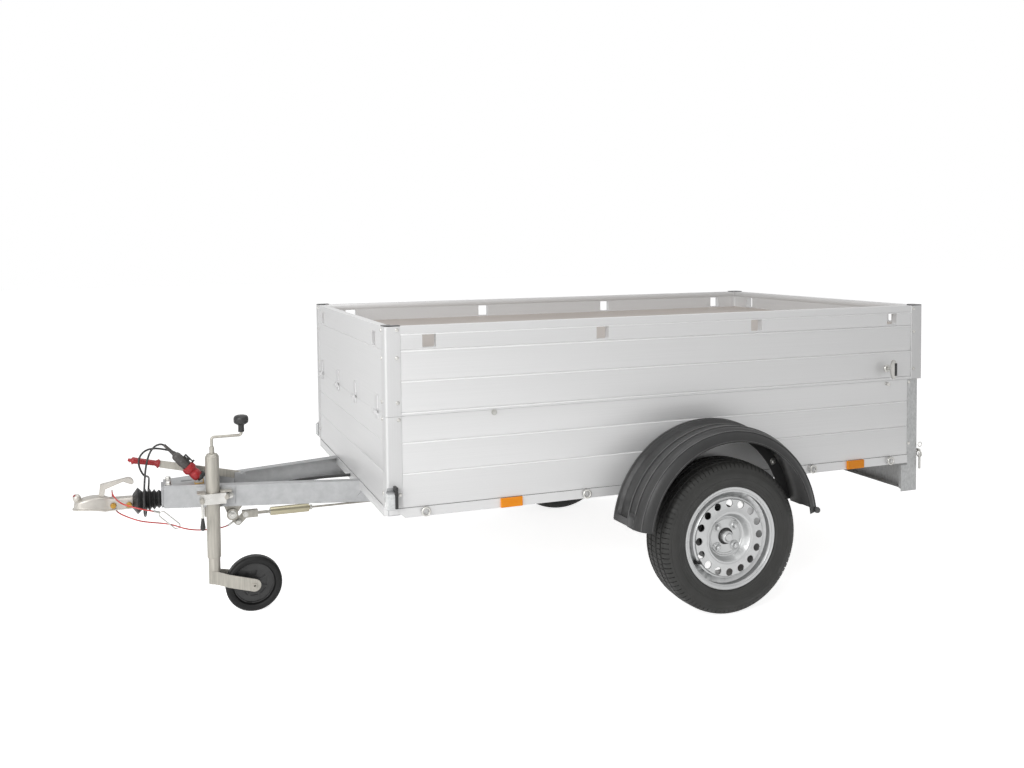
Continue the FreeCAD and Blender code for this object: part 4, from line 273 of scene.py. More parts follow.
def gold_zinc():
    """Deep yellow passivated bolts and the plug's parking bracket."""
    finish = Finish("gold_zinc", 0.75, 0.3)
    bloom = finish.cloud(70, detail=4)
    finish.colours(bloom, display(150, 112, 40), display(204, 164, 84), 0.25, 0.75)
    finish.relief(finish.cloud(300, detail=2), 0.0002, 0.2)
    return finish.material


def cast_iron():
    """Pressed and cast, zinc sprayed, with a slightly uneven skin."""
    finish = Finish("cast_iron", 0.6, 0.4)
    finish.colours(finish.cloud(12, detail=5), display(168, 164, 158), display(200, 196, 189))
    finish.gloss(finish.cloud(30), 0.34, 0.48)
    finish.relief(finish.cloud(170, detail=4), 0.0004, 0.4)
    return finish.material


def dark_steel():
    """Dark painted steel of the drums, the plug's clip and its socket."""
    finish = Finish("dark_steel", 0.6, 0.5)
    finish.colours(finish.cloud(22), grey(42), grey(60))
    finish.relief(finish.cloud(150), 0.0005, 0.3)
    return finish.material


def rim_lacquer():
    """Silver lacquer with a fine metal flake."""
    finish = Finish("rim_lacquer", 0.75, 0.36, Coat_Weight=0.3, Coat_Roughness=0.14)
    finish.colours(finish.cloud(900, detail=1), display(178, 179, 179), display(194, 195, 195))
    finish.relief(finish.cloud(60, detail=2), 0.0003, 0.15)
    return finish.material


def tyre_rubber():
    """Dry tyre rubber: warm near-black, paler where it has been handled."""
    finish = Finish("tyre_rubber", 0.0, 0.62, Specular_IOR_Level=0.42)
    finish.colours(finish.cloud(6, detail=6, rough=0.65), display(44, 44, 43), display(60, 60, 58))
    finish.gloss(finish.cloud(24), 0.52, 0.72)
    finish.relief(finish.cloud(700, detail=2), 0.0004, 0.35)
    return finish.material


def soft_rubber():
    """Glossier black rubber of bellows and cable sheaths."""
    finish = Finish("soft_rubber", 0.0, 0.38)
    finish.colours(finish.cloud(40), grey(32), grey(48))
    finish.gloss(finish.cloud(60), 0.3, 0.5)
    finish.relief(finish.cloud(500, detail=2), 0.0003, 0.25)
    return finish.material


def guard_plastic():
    """Moulded grey-black plastic with a fine grained skin."""
    finish = Finish("guard_plastic", 0.0, 0.42, Specular_IOR_Level=0.3)
    finish.colours(finish.cloud(5, detail=5), grey(56), grey(68))
    finish.gloss(finish.cloud(12), 0.3, 0.4)
    finish.relief(finish.cloud(900, detail=1), 0.0003, 0.3)
    return finish.material


def guard_rib_highlight():
    """The raised ribs of the mudguards, painted paler than the panel between them as a highlight."""
    finish = Finish("guard_rib_highlight", 0.0, 0.4, Specular_IOR_Level=0.4)
    finish.colours(finish.cloud(20, detail=4), grey(84), grey(104))
    finish.relief(finish.cloud(900, detail=1), 0.0003, 0.3)
    return finish.material


def black_plastic():
    """Moulded black plastic of the caps, knobs and seals."""
    finish = Finish("black_plastic", 0.0, 0.4)
    finish.colours(finish.cloud(30), grey(30), grey(42))
    finish.relief(finish.cloud(700, detail=2), 0.0003, 0.35)
    return finish.material


def rim_black():
    """The jockey wheel's moulded rim, a little paler than its tyre."""
    finish = Finish("rim_black", 0.0, 0.36)
    finish.colours(finish.cloud(30), grey(30), grey(42))
    finish.relief(finish.cloud(600, detail=2), 0.0002, 0.3)
    return finish.material


def plug_grey():
    """The plug's moulded body, a warm dark grey."""
    finish = Finish("plug_grey", 0.0, 0.42)
    finish.colours(finish.cloud(40), display(66, 63, 62), display(80, 77, 75))
    finish.relief(finish.cloud(800, detail=2), 0.0002, 0.3)
    return finish.material


def red_plastic():
    """The dull red of the handbrake's sleeve, the plug's ring and the wear indicator."""
    finish = Finish("red_plastic", 0.0, 0.36)
    finish.colours(finish.cloud(30), display(146, 30, 36), display(174, 40, 44))
    finish.relief(finish.cloud(400, detail=2), 0.0003, 0.3)
    return finish.material


def jockey_rubber():
    """The jockey wheel's solid tyre, blacker than the road tyres."""
    finish = Finish("jockey_rubber", 0.0, 0.5, Specular_IOR_Level=0.28)
    finish.colours(finish.cloud(20, detail=5), grey(13), grey(22))
    finish.gloss(finish.cloud(40), 0.42, 0.6)
    finish.relief(finish.cloud(400, detail=2), 0.0003, 0.3)
    return finish.material


def plywood():
    """Film-faced board: a warm grey-brown film with a fine wire-mesh print."""
    finish = Finish("plywood", 0.0, 0.5)
    finish.colours(finish.cloud(3, (0.4, 1, 1), 6), display(176, 167, 160), display(190, 181, 174))
    finish.relief(finish.cells(420), 0.0003, 0.4)
    return finish.material


def orange_lens():
    """A prismatic reflector under clear plastic."""
    finish = Finish("orange_lens", 0.0, 0.3, Specular_IOR_Level=0.3, Coat_Weight=0.12, Coat_Roughness=0.1)
    prisms = finish.cells(260)
    finish.colours(prisms, display(255, 166, 0), display(255, 146, 0), 0.0, 0.8)
    finish.relief(prisms, 0.0006, 0.3)
    return finish.material


def clear_lens():
    """The front marker lamps' clear prismatic plastic."""
    finish = Finish("clear_lens", 0.0, 0.15, Coat_Weight=0.6, Coat_Roughness=0.06)
    prisms = finish.cells(150)
    finish.colours(prisms, display(214, 216, 216), display(236, 238, 238), 0.0, 0.8)
    finish.relief(prisms, 0.0006, 0.3)
    return finish.material


def red_lens():
    """The rear lamps' red prismatic plastic."""
    finish = Finish("red_lens", 0.0, 0.15, Coat_Weight=0.6, Coat_Roughness=0.06)
    prisms = finish.cells(150)
    finish.colours(prisms, display(150, 12, 14), display(190, 22, 22), 0.0, 0.8)
    finish.relief(prisms, 0.0006, 0.3)
    return finish.material


def red_sheath():
    """The breakaway cable's plastic-covered wire."""
    finish = Finish("red_sheath", 0.0, 0.3, Coat_Weight=0.4)
    finish.colours(finish.cloud(90), display(176, 34, 34), display(216, 52, 44))
    finish.relief(finish.cloud(700, detail=2), 0.0002, 0.3)
    return finish.material


FINISHES = {maker.__name__: maker() for maker in (
    planks, painted_highlight, upright_profile, galvanised, speckled_zinc, zinc_plate, satin_zinc, yellow_zinc,
    gold_zinc, cast_iron, dark_steel, rim_lacquer, tyre_rubber, soft_rubber, guard_plastic, guard_rib_highlight,
    black_plastic, rim_black, plug_grey, red_plastic, jockey_rubber, plywood, orange_lens, clear_lens,
    red_lens, red_sheath)}

WEARS = {
    "planks": ("left_board", "right_board", "front_board", "lid_left_board", "lid_right_board",
               "lid_front_board", "lid_rear_board", "tailgate_board", "side_rails"),
    "upright_profile": ("front_corner_posts", "lid_corner_posts", "lid_hinge_leaves", "box_hinge_leaves"),
    "galvanised": ("cross_members", "drawbar_beams", "drawbar_top_plate", "overrun_housing"),
    "speckled_zinc": ("rear_corner_posts", "axle_beam", "swing_arms", "rear_lamp_carrier"),
    "zinc_plate": ("lid_latches", "latch_keepers", "lashing_eyes", "jockey_clamp", "breakaway_hook",
                   "tailgate_fittings", "tailgate_pivot_pins"),
    "satin_zinc": ("handbrake_lever", "brake_bell_crank", "brake_rod", "jockey_tube", "jockey_fork"),
    "gold_zinc": ("plug_holder",),
    "yellow_zinc": ("brake_spring_canister",),
    "cast_iron": ("coupling_head", "coupling_lever"),
    "dark_steel": ("left_brake_drum", "right_brake_drum"),
    "rim_lacquer": ("left_rim", "right_rim"),
    "tyre_rubber": ("left_tyre", "right_tyre"),
    "soft_rubber": ("coupling_bellows", "electric_cable", "harness_cable"),
    "guard_plastic": ("mudguards",),
    "black_plastic": ("lid_post_caps", "jockey_crank_knob", "jockey_clamp_grip", "electric_plug"),
    "jockey_rubber": ("jockey_wheel",),
    "red_plastic": ("handbrake_grip",),
    "red_sheath": ("breakaway_cable",),
    "plywood": ("floor_panel", "lid_top_panel"),
    "orange_lens": ("side_reflectors",),
    "clear_lens": ("front_marker_lamps",),
    "red_lens": ("rear_lamps",),
}
FINISH_OF = {node: name for name, node_names in WEARS.items() for node in node_names}
BODY_OF = {node: body for body, nodes in frame["record"]["behaviour"]["bodies"].items() for node in nodes}


def dress_nodes():
    """Give each node of the CAD its finish."""
    for node, piece in frame["nodes"].items():
        piece.data.materials.clear()
        piece.data.materials.append(FINISHES[FINISH_OF[node]])


# Pieces

# Angles below which an edge counts as smooth and as flat, and from which it is rounded
SHARP = math.radians(32)
FLAT = math.radians(0.6)
EDGE_TURN = math.radians(40)
# In metres: how close points are joined, and how wide an edge is rounded
WELD = 0.00002
EDGE_ROUND = 0.0008
ROUND_SEGMENTS = 2


def add_piece(name, mesh, finish, node, body=None):
    """Link a finished mesh as a piece in a given finish, riding on a given body or else on a node's body."""
    data = bpy.data.meshes.new(name)
    mesh.to_mesh(data)
    mesh.free()
    data.materials.append(FINISHES[finish])
    piece = bpy.data.objects.new(name, data)
    bpy.context.scene.collection.objects.link(piece)
    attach(piece, body or BODY_OF[node])
    return piece


def smooth(piece, angle=SHARP):
    """Smooth shading, except over sharp edges."""
    piece.data.polygons.foreach_set("use_smooth", [True] * len(piece.data.polygons))
    piece.data.set_sharp_from_angle(angle=angle)


def soften(piece, width):
    """Round the sharp edges a little, as every real edge is."""
    rounding = piece.modifiers.new("edges", "BEVEL")
    rounding.width = width
    rounding.segments = ROUND_SEGMENTS
    rounding.limit_method = "ANGLE"
    rounding.angle_limit = EDGE_TURN
    rounding.harden_normals = True
    rounding.material = -1


def refine(node, width=EDGE_ROUND):
    """Stand a welded copy with softened edges in for a rigid node."""
    mesh = bmesh.new()
    mesh.from_mesh(frame["nodes"][node].data)
    bmesh.ops.remove_doubles(mesh, verts=mesh.verts, dist=WELD)
    bmesh.ops.dissolve_limit(mesh, angle_limit=FLAT, verts=mesh.verts, edges=mesh.edges)
    piece = add_piece(node + "_shown", mesh, FINISH_OF[node], node)
    smooth(piece)
    if width:
        soften(piece, width)
    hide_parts(node)
    return piece


def gather(shapes):
    """One mesh of many shapes, each set down by its matrix."""
    whole = bmesh.new()
    for shape, matrix in shapes:
        bmesh.ops.transform(shape, matrix=matrix, verts=shape.verts)
        data = bpy.data.meshes.new("shape")
        shape.to_mesh(data)
        shape.free()
        whole.from_mesh(data)
        bpy.data.meshes.remove(data)
    return whole


def show(name, shapes, finish, node, stands_in=False, body=None):
    """A piece of many shapes that belongs to a node, and stands in for it where that is asked."""
    piece = add_piece(name, gather(shapes), finish, node, body)
    smooth(piece)
    if stands_in:
        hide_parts(node)
    return piece


def paint(piece, finish, chosen):
    """Give the faces whose middle passes a test, in metres ahead of the axle, a second finish."""
    piece.data.materials.append(FINISHES[finish])
    second = len(piece.data.materials) - 1
    for face in piece.data.polygons:
        if chosen(face.center - Vector((axle_x, 0, 0))):
            face.material_index = second


# Places

def spot(x, y, z):
    """A place given in millimetres ahead of the axle, left of the middle and above the floor."""
    return Vector((axle_x + x * MM, y * MM, z * MM))


def aim(at, towards, turn=0.0):
    """The matrix that stands a shape on a place, its own Z along a direction."""
    lean = Vector(towards).to_track_quat("Z", "Y").to_matrix().to_4x4()
    return Matrix.Translation(spot(*at)) @ lean @ Matrix.Rotation(turn, 4, "Z")


def along(start, end):
    """The matrix whose own Z runs from one place towards another."""
    return aim(start, spot(*end) - spot(*start))


def shifted(matrix, shift):
    """A matrix moved on along its own axes, in millimetres."""
    return matrix @ Matrix.Translation([part * MM for part in shift])


# Shapes

HEXAGON_CHAMFER_SHARE = 0.07
WASHER_EDGE_SHARE = 0.3
DOME_SHARES = ((1, 0), (1, 0.25), (0.86, 0.66), (0.55, 0.92), (0, 1), (0, 0))
DOME_STEPS = 20
WIRE_SEGMENTS = 10


def turned(profile, steps=32, closed=False):
    """A shape turned about its own Z from (radius, height) points in millimetres."""
    mesh = bmesh.new()
    points = [mesh.verts.new((radius * MM, 0, height * MM)) for radius, height in profile]
    pairs = list(zip(points, points[1:]))
    if closed:
        pairs.append((points[-1], points[0]))
    edges = [mesh.edges.new(pair) for pair in pairs]
    bmesh.ops.spin(mesh, geom=points + edges, cent=(0, 0, 0), axis=UP, angle=math.tau, steps=steps,
                   use_merge=True)
    bmesh.ops.remove_doubles(mesh, verts=mesh.verts, dist=WELD)
    bmesh.ops.recalc_face_normals(mesh, faces=mesh.faces)
    return mesh


def block(size, rounding):
    """A block with rounded edges, sizes in millimetres, centred on its place."""
    mesh = bmesh.new()
    bmesh.ops.create_cube(mesh, size=MM)
    bmesh.ops.scale(mesh, vec=size, verts=mesh.verts)
    bmesh.ops.bevel(mesh, geom=mesh.edges[:] + mesh.verts[:], affect="EDGES", offset=rounding * MM,
                    segments=ROUND_SEGMENTS, profile=0.5, material=-1)
    return mesh


def placed_block(size, rounding, place):
    """A block and the matrix that sets it upright on a place."""
    return block(size, rounding), Matrix.Translation(spot(*place))


def hexagon(flats, height):
    """A chamfered hexagon head standing on zero."""
    mesh = bmesh.new()
    corner = flats / math.sqrt(3) * MM
    bmesh.ops.create_cone(mesh, cap_ends=True, segments=6, radius1=corner, radius2=corner, depth=height * MM)
    bmesh.ops.translate(mesh, vec=(0, 0, height / 2 * MM), verts=mesh.verts)
    crown = [edge for edge in mesh.edges if min(vert.co.z for vert in edge.verts) > height / 2 * MM]
    bmesh.ops.bevel(mesh, geom=crown, affect="EDGES", offset=flats * HEXAGON_CHAMFER_SHARE * MM,
                    segments=ROUND_SEGMENTS, profile=0.5, material=-1)
    return mesh


def washer(radius, thick):
    """A flat washer standing on zero, without its hole, which a bolt fills."""
    edge = thick * WASHER_EDGE_SHARE
    return turned([(0, 0), (radius, 0), (radius, thick - edge), (radius - edge, thick), (0, thick)])


def dome(radius, height):
    """A round bolt head."""
    return turned([(radius * across, height * up) for across, up in DOME_SHARES], DOME_STEPS, closed=True)


def hoop(radius, wire, sweep=360, first=0, steps=36):
    """A round wire bent about its own Z, from one angle on over a sweep in degrees."""
    mesh = bmesh.new()
    bmesh.ops.create_circle(mesh, segments=WIRE_SEGMENTS, radius=wire * MM)
    bmesh.ops.rotate(mesh, cent=(0, 0, 0), matrix=Matrix.Rotation(math.pi / 2, 3, "X"), verts=mesh.verts)
    bmesh.ops.translate(mesh, vec=(radius * MM, 0, 0), verts=mesh.verts)
    bmesh.ops.rotate(mesh, cent=(0, 0, 0), matrix=Matrix.Rotation(math.radians(first), 3, "Z"),
                     verts=mesh.verts)
    bmesh.ops.spin(mesh, geom=mesh.verts[:] + mesh.edges[:], cent=(0, 0, 0), axis=UP,
                   angle=math.radians(sweep), steps=steps, use_merge=sweep == 360)
    bmesh.ops.remove_doubles(mesh, verts=mesh.verts, dist=WELD)
    bmesh.ops.holes_fill(mesh, edges=[edge for edge in mesh.edges if edge.is_boundary])
    bmesh.ops.recalc_face_normals(mesh, faces=mesh.faces)
    return mesh


# Cables

# Each cable's radius and the points of its route
ROUTES = {
    "electric_cable": (3.5, (
        (1857.8, 50, 609.9), (1866, 50, 616.5), (1878, 50, 617.5), (1891, 50.5, 613), (1901, 51, 603.5),
        (1910.5, 52, 590), (1918.6, 54, 568), (1924.6, 57, 541.7), (1928.5, 61, 510), (1931, 66, 478),
        (1933, 69, 446), (1934, 66, 413), (1934, 52, 381), (1932, 26, 357), (1929, -7, 349),
        (1927, -39, 360), (1923, -61, 386), (1919, -68, 420), (1916, -60, 454), (1915, -37, 481),
        (1919, -5, 494), (1930, 24, 502), (1940, 38, 520), (1949, 42, 548), (1946, 40, 576),
        (1926, 35, 597), (1896, 28, 601), (1862, 21, 593), (1828, 18, 581), (1797, 16, 558),
        (1769, 15, 531), (1744, 15.5, 502), (1718, 20, 488), (1699, 34, 463), (1691, 54, 441),
        (1682, 75, 430), (1664, 99.1, 424), (1640.3, 105.4, 424))),
    "breakaway_cable": (2.5, (
        (1625.3, 0, 296.8), (1646, 1.5, 284), (1670, 8, 281), (1700, 21, 283), (1733, 38, 288),
        (1768, 53, 296), (1804, 57, 307), (1840, 39, 320), (1874, 29, 326), (1910, 30, 333),
        (1950, 33, 343), (1990, 18, 358), (2020, -8, 369), (2034, -36, 380), (2040, -52, 404),
        (2041, -53, 434), (2041, -35, 449.5), (2040, -6, 453.5), (2039, 25, 451.5), (2032, 47, 441),
        (2012, 55, 419), (1978, 60, 405), (1940, 72, 394), (1904, 64, 382), (1883.6, 50, 372.1))),
    "harness_cable": (6, (
        (1640, 105.5, 424), (1590, 118.8, 424), (1540, 112, 429), (1488, 86, 435), (1434, 60, 440),
        (1376, 45, 442), (1316, 42, 443), (1256, 47, 444), (1183, 57, 445))),
}

CABLE_ROUND_STEPS = 6
CABLE_LINE_STEPS = 10
CABLE_ORDER = 3
PLUG_START = (1861.5, 50, 614)
PLUG_END = (1742, 50, 483)
BOOT_TIP = ((4.4, 0), (5, 1.5))
BOOT_RIBS = 6
BOOT_RIB = ((5.3, 5), (5.4, 8.4), (4.9, 9.2), (5, 11.2))
BOOT_PITCH = 7
BOOT_FLARE = 0.32
PLUG_BODY = ((7.6, 48), (9.4, 50), (13.4, 53), (15.2, 57), (16.2, 62), (16.6, 84), (16.6, 106), (15.4, 109),
             (15.4, 116), (0, 116), (0, 0))
PLUG_BOSS = (9, 34.6, 22)
PLUG_BOSS_UP = 86
PLUG_BOSS_ROUNDING = 1.4
PLUG_PIVOT = (5.4, 1.6)
PLUG_PIVOT_AT = (1804.1, 66.2, 551.1)
PLUG_CLIP_ROUNDING = 1
# Size and place, within the plug, of the lever, its ears and its foot
PLUG_CLIP = (((10, 12, 12), (0, 19, 97)), ((15, 4.4, 36), (0, 25.5, 97)), ((15, 9, 4.4), (0, 24, 80)),
             ((15, 10, 4.4), (0, 27.5, 115)), ((11, 3, 20), (0, 19.5, 88)))
PLUG_RING = ((15, 112), (20.4, 112.6), (22.6, 115), (23, 119), (23, 131), (21.6, 135), (19, 138), (18.2, 141),
             (18.2, 146), (19.4, 148), (19.6, 152), (19.4, 165), (18, 170), (15, 173), (0, 173), (0, 112))
PLUG_LUGS = 8
LUG_SIZE = (6, 3.4, 15)
LUG_ROUNDING = 1.2
LUG_PLACE = (0, 22.6, 125)
PARKING_SOCKET = ((0, 166), (17, 166), (18, 168), (18, 180), (16.6, 182), (0, 182))
PARKING_SHIFT = (0, 8, 0)
PARKING_ROUNDING = 0.9
PARKING_STRIP = (((32, 18, 2.2), (1744, 64, 468)), ((2.4, 16, 8), (1760.5, 64, 471)),
                 ((3, 16, 16), (1731, 50, 474)))

SLEEVE_START = (1678, 88, 427.5)
CABLE_SLEEVE = ((4.6, 0), (5.4, 2), (5.8, 10), (6.6, 12), (7.2, 30), (8, 32), (8, 42), (6.4, 44), (0, 44),
                (0, 0))
FERRULE = ((3.1, -1), (3.7, 0), (3.9, 3), (3.9, 24), (3.2, 26), (0, 26), (0, -1))


def make_cable(node, radius, route):
    """A cable along one smooth line through its route."""
    data = bpy.data.curves.new(node + "_line", "CURVE")
    data.dimensions = "3D"
    data.bevel_depth = radius * MM
    data.bevel_resolution = CABLE_ROUND_STEPS
    data.resolution_u = CABLE_LINE_STEPS
    data.use_fill_caps = True
    line = data.splines.new("NURBS")
    line.points.add(len(route) - 1)
    for point, (x, y, z) in zip(line.points, route):
        point.co = (*spot(x, y, z), 1)
    line.use_endpoint_u = True
    line.order_u = CABLE_ORDER
    data.materials.append(FINISHES[FINISH_OF[node]])
    piece = bpy.data.objects.new(node + "_line", data)
    bpy.context.scene.collection.objects.link(piece)
    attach(piece, "root")
    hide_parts(node)
    return piece


def boot_outline():
    """The bend relief behind the plug: ribs that widen towards its body."""
    outline = list(BOOT_TIP)
    for rib in range(BOOT_RIBS):
        outline += [(radius + rib * BOOT_FLARE, up + rib * BOOT_PITCH) for radius, up in BOOT_RIB]
    return outline


def make_plug():
    """The moulded plug: a tapered boot, a grey body with its clip, and a red locking ring."""
    at = along(PLUG_START, PLUG_END)
    body = [(turned(boot_outline() + list(PLUG_BODY), closed=True), at),
            (dome(*PLUG_PIVOT), aim(PLUG_PIVOT_AT, LEFT)),
            (block(PLUG_BOSS, PLUG_BOSS_ROUNDING), shifted(at, (0, 0, PLUG_BOSS_UP)))]
    clip = [(block(size, PLUG_CLIP_ROUNDING), shifted(at, shift)) for size, shift in PLUG_CLIP]
    ring = [(turned(PLUG_RING, closed=True), at)]
    for lug in range(PLUG_LUGS):
        round_it = Matrix.Rotation(math.tau * (lug + 0.5) / PLUG_LUGS, 4, "Z")
        ring.append((block(LUG_SIZE, LUG_ROUNDING), shifted(at @ round_it, LUG_PLACE)))
    return [show("plug_body", body, "plug_grey", "electric_plug", stands_in=True),
            show("plug_clip", clip, "dark_steel", "electric_plug", stands_in=True),
            show("plug_ring", ring, "red_plastic", "electric_plug", stands_in=True)]


def make_plug_parking():
    """The dark socket that the plug is parked in, and its bent strip."""
    at = shifted(along(PLUG_START, PLUG_END), PARKING_SHIFT)
    show("parking_socket", [(turned(PARKING_SOCKET, closed=True), at)], "dark_steel", "plug_holder",
         stands_in=True)
    strip = [placed_block(size, PARKING_ROUNDING, place) for size, place in PARKING_STRIP]
    show("parking_bracket", strip, "gold_zinc", "plug_holder", stands_in=True)


def make_cables():
    """The three cables as lines of their real length, with what each one ends in."""
    lines = {node: make_cable(node, radius, route) for node, (radius, route) in ROUTES.items()}
    plug = make_plug()
    make_plug_parking()
    hook = refine("breakaway_hook", 0)
    electric = ROUTES["electric_cable"][1]
    sleeve = [(turned(CABLE_SLEEVE, closed=True), along(SLEEVE_START, electric[-1]))]
    joint = show("cable_sleeve", sleeve, "soft_rubber", "electric_cable")
    breakaway = ROUTES["breakaway_cable"][1]
    crimps = [(turned(FERRULE, closed=True), along(breakaway[0], breakaway[1])),
              (turned(FERRULE, closed=True), along(breakaway[-1], breakaway[-2]))]
    ferrule = show("cable_ferrule", crimps, "zinc_plate", "breakaway_hook")


# Wheels

# Half of the tyre's section from its bead to the middle of its tread, as radius and distance sideways
TYRE_HALF = (
    (171, 50), (176, 58), (183.4, 59.6), (184, 65), (186, 69.4), (189.5, 72), (193, 72.6), (196, 71.8),
    (199, 72.4), (203, 73.8), (204, 73.4), (209, 75.4), (215, 76.9), (216, 76.2), (217, 77), (226, 78.2),
    (231, 78.4), (233, 78.5), (235, 77.4), (243, 76.2), (244, 75.3), (245, 75.8), (253, 73), (260, 69),
    (265.6, 64), (268.4, 60), (271, 49), (264, 47.2), (264, 42.4), (271.6, 40.6), (272.8, 21), (265, 19.2),
    (265, 13.6), (273.2, 11.8), (273.5, 0))
TYRE_SHARP = math.radians(38)
PITCHES = 92
# The strips that one pitch of tread is spun in, as shares of the pitch
STRIP_SHARES = (0.2, 0.14, 0.32, 0.14, 0.2)
SHOULDER_STRIP = 1
RIB_STRIP = 3
# Which strip is cut, and between which distances from the tyre's middle
TREAD_SLOTS = ((SHOULDER_STRIP, 48, 74), (RIB_STRIP, 21, 41), (RIB_STRIP, 0, 12))
TREAD_FROM = 254
SLOT_SHARE = 0.13
TYRE_CORE = (238, 44)
TRACK_HALF = 755.5
HUB_FACE = 785.5
# In metres
HUB_CAP_RADIUS = 0.022
RIM_EDGE = 0.0012
DRUM_EDGE = 0.001
# Radius, wire and distance from the trailer's middle of each ring rolled in the rim
RIM_RINGS = ((181.4, 2.2, 818.4), (171.5, 2.4, 816.6), (61, 1.6, 785.6))
RING_STEPS = 72
BOLT_CIRCLE = 50
WHEEL_BOLTS = 4
BOLT_PROUD = 0.2
BOLT_SEAT = ((17, 0), (16, 2), (13, 3.4), (10, 3), (9, 0), (9, -1), (17, -1))
BOLT_COLLAR = ((0, 0), (12, 0), (12, 3), (9.6, 6), (0, 6))
BOLT_TURN = 0.4
# A hexagon is given by its width over flats and its height, a dome or washer by its radius and height
BOLT_HEAD = (17, 13)
BOLT_HEAD_FOOT = 2
BOLT_TIP = (6.4, 2.6)
BOLT_TIP_FOOT = 14.5
VALVE_ANGLE = math.radians(-32)
VALVE_RADIUS = 151
VALVE_FOOT = 786
VALVE_LEAN = 0.35
VALVE = ((0, -4), (8, -4), (8, 0), (6.4, 4), (5.2, 12), (4.2, 15), (4.2, 18), (4.9, 19), (4.9, 31), (3.8, 33),
         (0, 33))


def cut_tread_slots(mesh):
    """Sink the slots across the tyre's shoulders and ribs."""
    pitch = math.tau / PITCHES
    for strip, near, far in TREAD_SLOTS:
        first = sum(STRIP_SHARES[:strip])
        last = first + STRIP_SHARES[strip]
        for side in SIDES:
            chosen = []
            for face in mesh.faces:
                middle = face.calc_center_median() / MM
                share = math.atan2(-middle.z, middle.x) / pitch
                radius = math.hypot(middle.x, middle.z)
                if first < share < last and near < middle.y * side < far and radius > TREAD_FROM:
                    chosen.append(face)
            if not chosen:
                continue
            sunk = bmesh.ops.extrude_face_region(mesh, geom=chosen)
            for vert in sunk["geom"]:
                if isinstance(vert, bmesh.types.BMVert):
                    out = Vector((vert.co.x, 0, vert.co.z)).normalized()
                    core = out * TYRE_CORE[0] * MM + Vector((0, TYRE_CORE[1] * side * MM, 0))
                    vert.co = vert.co.lerp(core, SLOT_SHARE)
            bmesh.ops.delete(mesh, geom=[face for face in chosen if face.is_valid], context="FACES_ONLY")


def make_tyre(node, side):
    """The tyre turned from its section one pitch at a time, each pitch with its tread slots."""
    mesh = bmesh.new()
    section = list(TYRE_HALF) + [(radius, -across) for radius, across in TYRE_HALF[-2::-1]]
    points = [mesh.verts.new((radius * MM, across * MM, 0)) for radius, across in section]
    edges = [mesh.edges.new(pair) for pair in zip(points, points[1:] + points[:1])]
    last = points + edges
    pitch = math.tau / PITCHES
    for share in STRIP_SHARES:
        last = bmesh.ops.spin(mesh, geom=last, cent=(0, 0, 0), axis=(0, 1, 0), angle=pitch * share,
                              steps=1)["geom_last"]
    cut_tread_slots(mesh)
    bmesh.ops.spin(mesh, geom=mesh.verts[:] + mesh.edges[:] + mesh.faces[:], cent=(0, 0, 0), axis=(0, 1, 0),
                   angle=math.tau - pitch, steps=PITCHES - 1, use_duplicate=True)
    bmesh.ops.remove_doubles(mesh, verts=mesh.verts, dist=WELD)
    bmesh.ops.recalc_face_normals(mesh, faces=mesh.faces)
    bmesh.ops.translate(mesh, vec=(axle_x, TRACK_HALF * side * MM, axle_z), verts=mesh.verts)
    tyre = add_piece(node + "_shown", mesh, "tyre_rubber", node)
    smooth(tyre, TYRE_SHARP)
    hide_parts(node)


def make_wheel(name, side):
    """A tyre, its rim and drum, and the bolts, seats, rings and valve on them."""
    make_tyre(name + "_tyre", side)
    rim = name + "_rim"
    refine(rim, RIM_EDGE)
    drum = refine(name + "_brake_drum", DRUM_EDGE)
    hub = Vector((0, HUB_FACE * side * MM, axle_z))
    paint(drum, "rim_lacquer",
          lambda at: (at - hub).y * side > 0 and Vector((at.x, at.z - hub.z)).length < HUB_CAP_RADIUS)
    up = axle_z / MM
    outward = (0, side, 0)
    bolts = []
    seats = []
    for number in range(WHEEL_BOLTS):
        angle = math.tau * (number + 0.5) / WHEEL_BOLTS
        x = BOLT_CIRCLE * math.cos(angle)
        z = BOLT_CIRCLE * math.sin(angle)
        at = (x, (HUB_FACE + BOLT_PROUD) * side, up + z)
        stand = aim(at, outward, number * BOLT_TURN)
        seats.append((turned(BOLT_SEAT, closed=True), stand))
        bolts.append((turned(BOLT_COLLAR), stand))
        bolts.append((hexagon(*BOLT_HEAD), shifted(stand, (0, 0, BOLT_HEAD_FOOT))))
        bolts.append((dome(*BOLT_TIP), shifted(stand, (0, 0, BOLT_TIP_FOOT))))
    show(name + "_wheel_bolts", bolts, "rim_lacquer", "latch_keepers", body=BODY_OF[rim])
    show(name + "_bolt_seats", seats, "rim_lacquer", rim)
    middle = aim((0, 0, up), outward)
    rings = [(hoop(radius, wire, steps=RING_STEPS), shifted(middle, (0, 0, across)))
             for radius, wire, across in RIM_RINGS]
    show(name + "_rim_rings", rings, "rim_lacquer", rim)
    ahead = math.cos(VALVE_ANGLE)
    rise = math.sin(VALVE_ANGLE)
    at = (VALVE_RADIUS * ahead, VALVE_FOOT * side, up + VALVE_RADIUS * rise)
    lean = (-ahead * VALVE_LEAN, side, -rise * VALVE_LEAN)
    show(name + "_valve", [(turned(VALVE), aim(at, lean))], "black_plastic", name + "_tyre")


# Bolts along the posts and on the drawbar

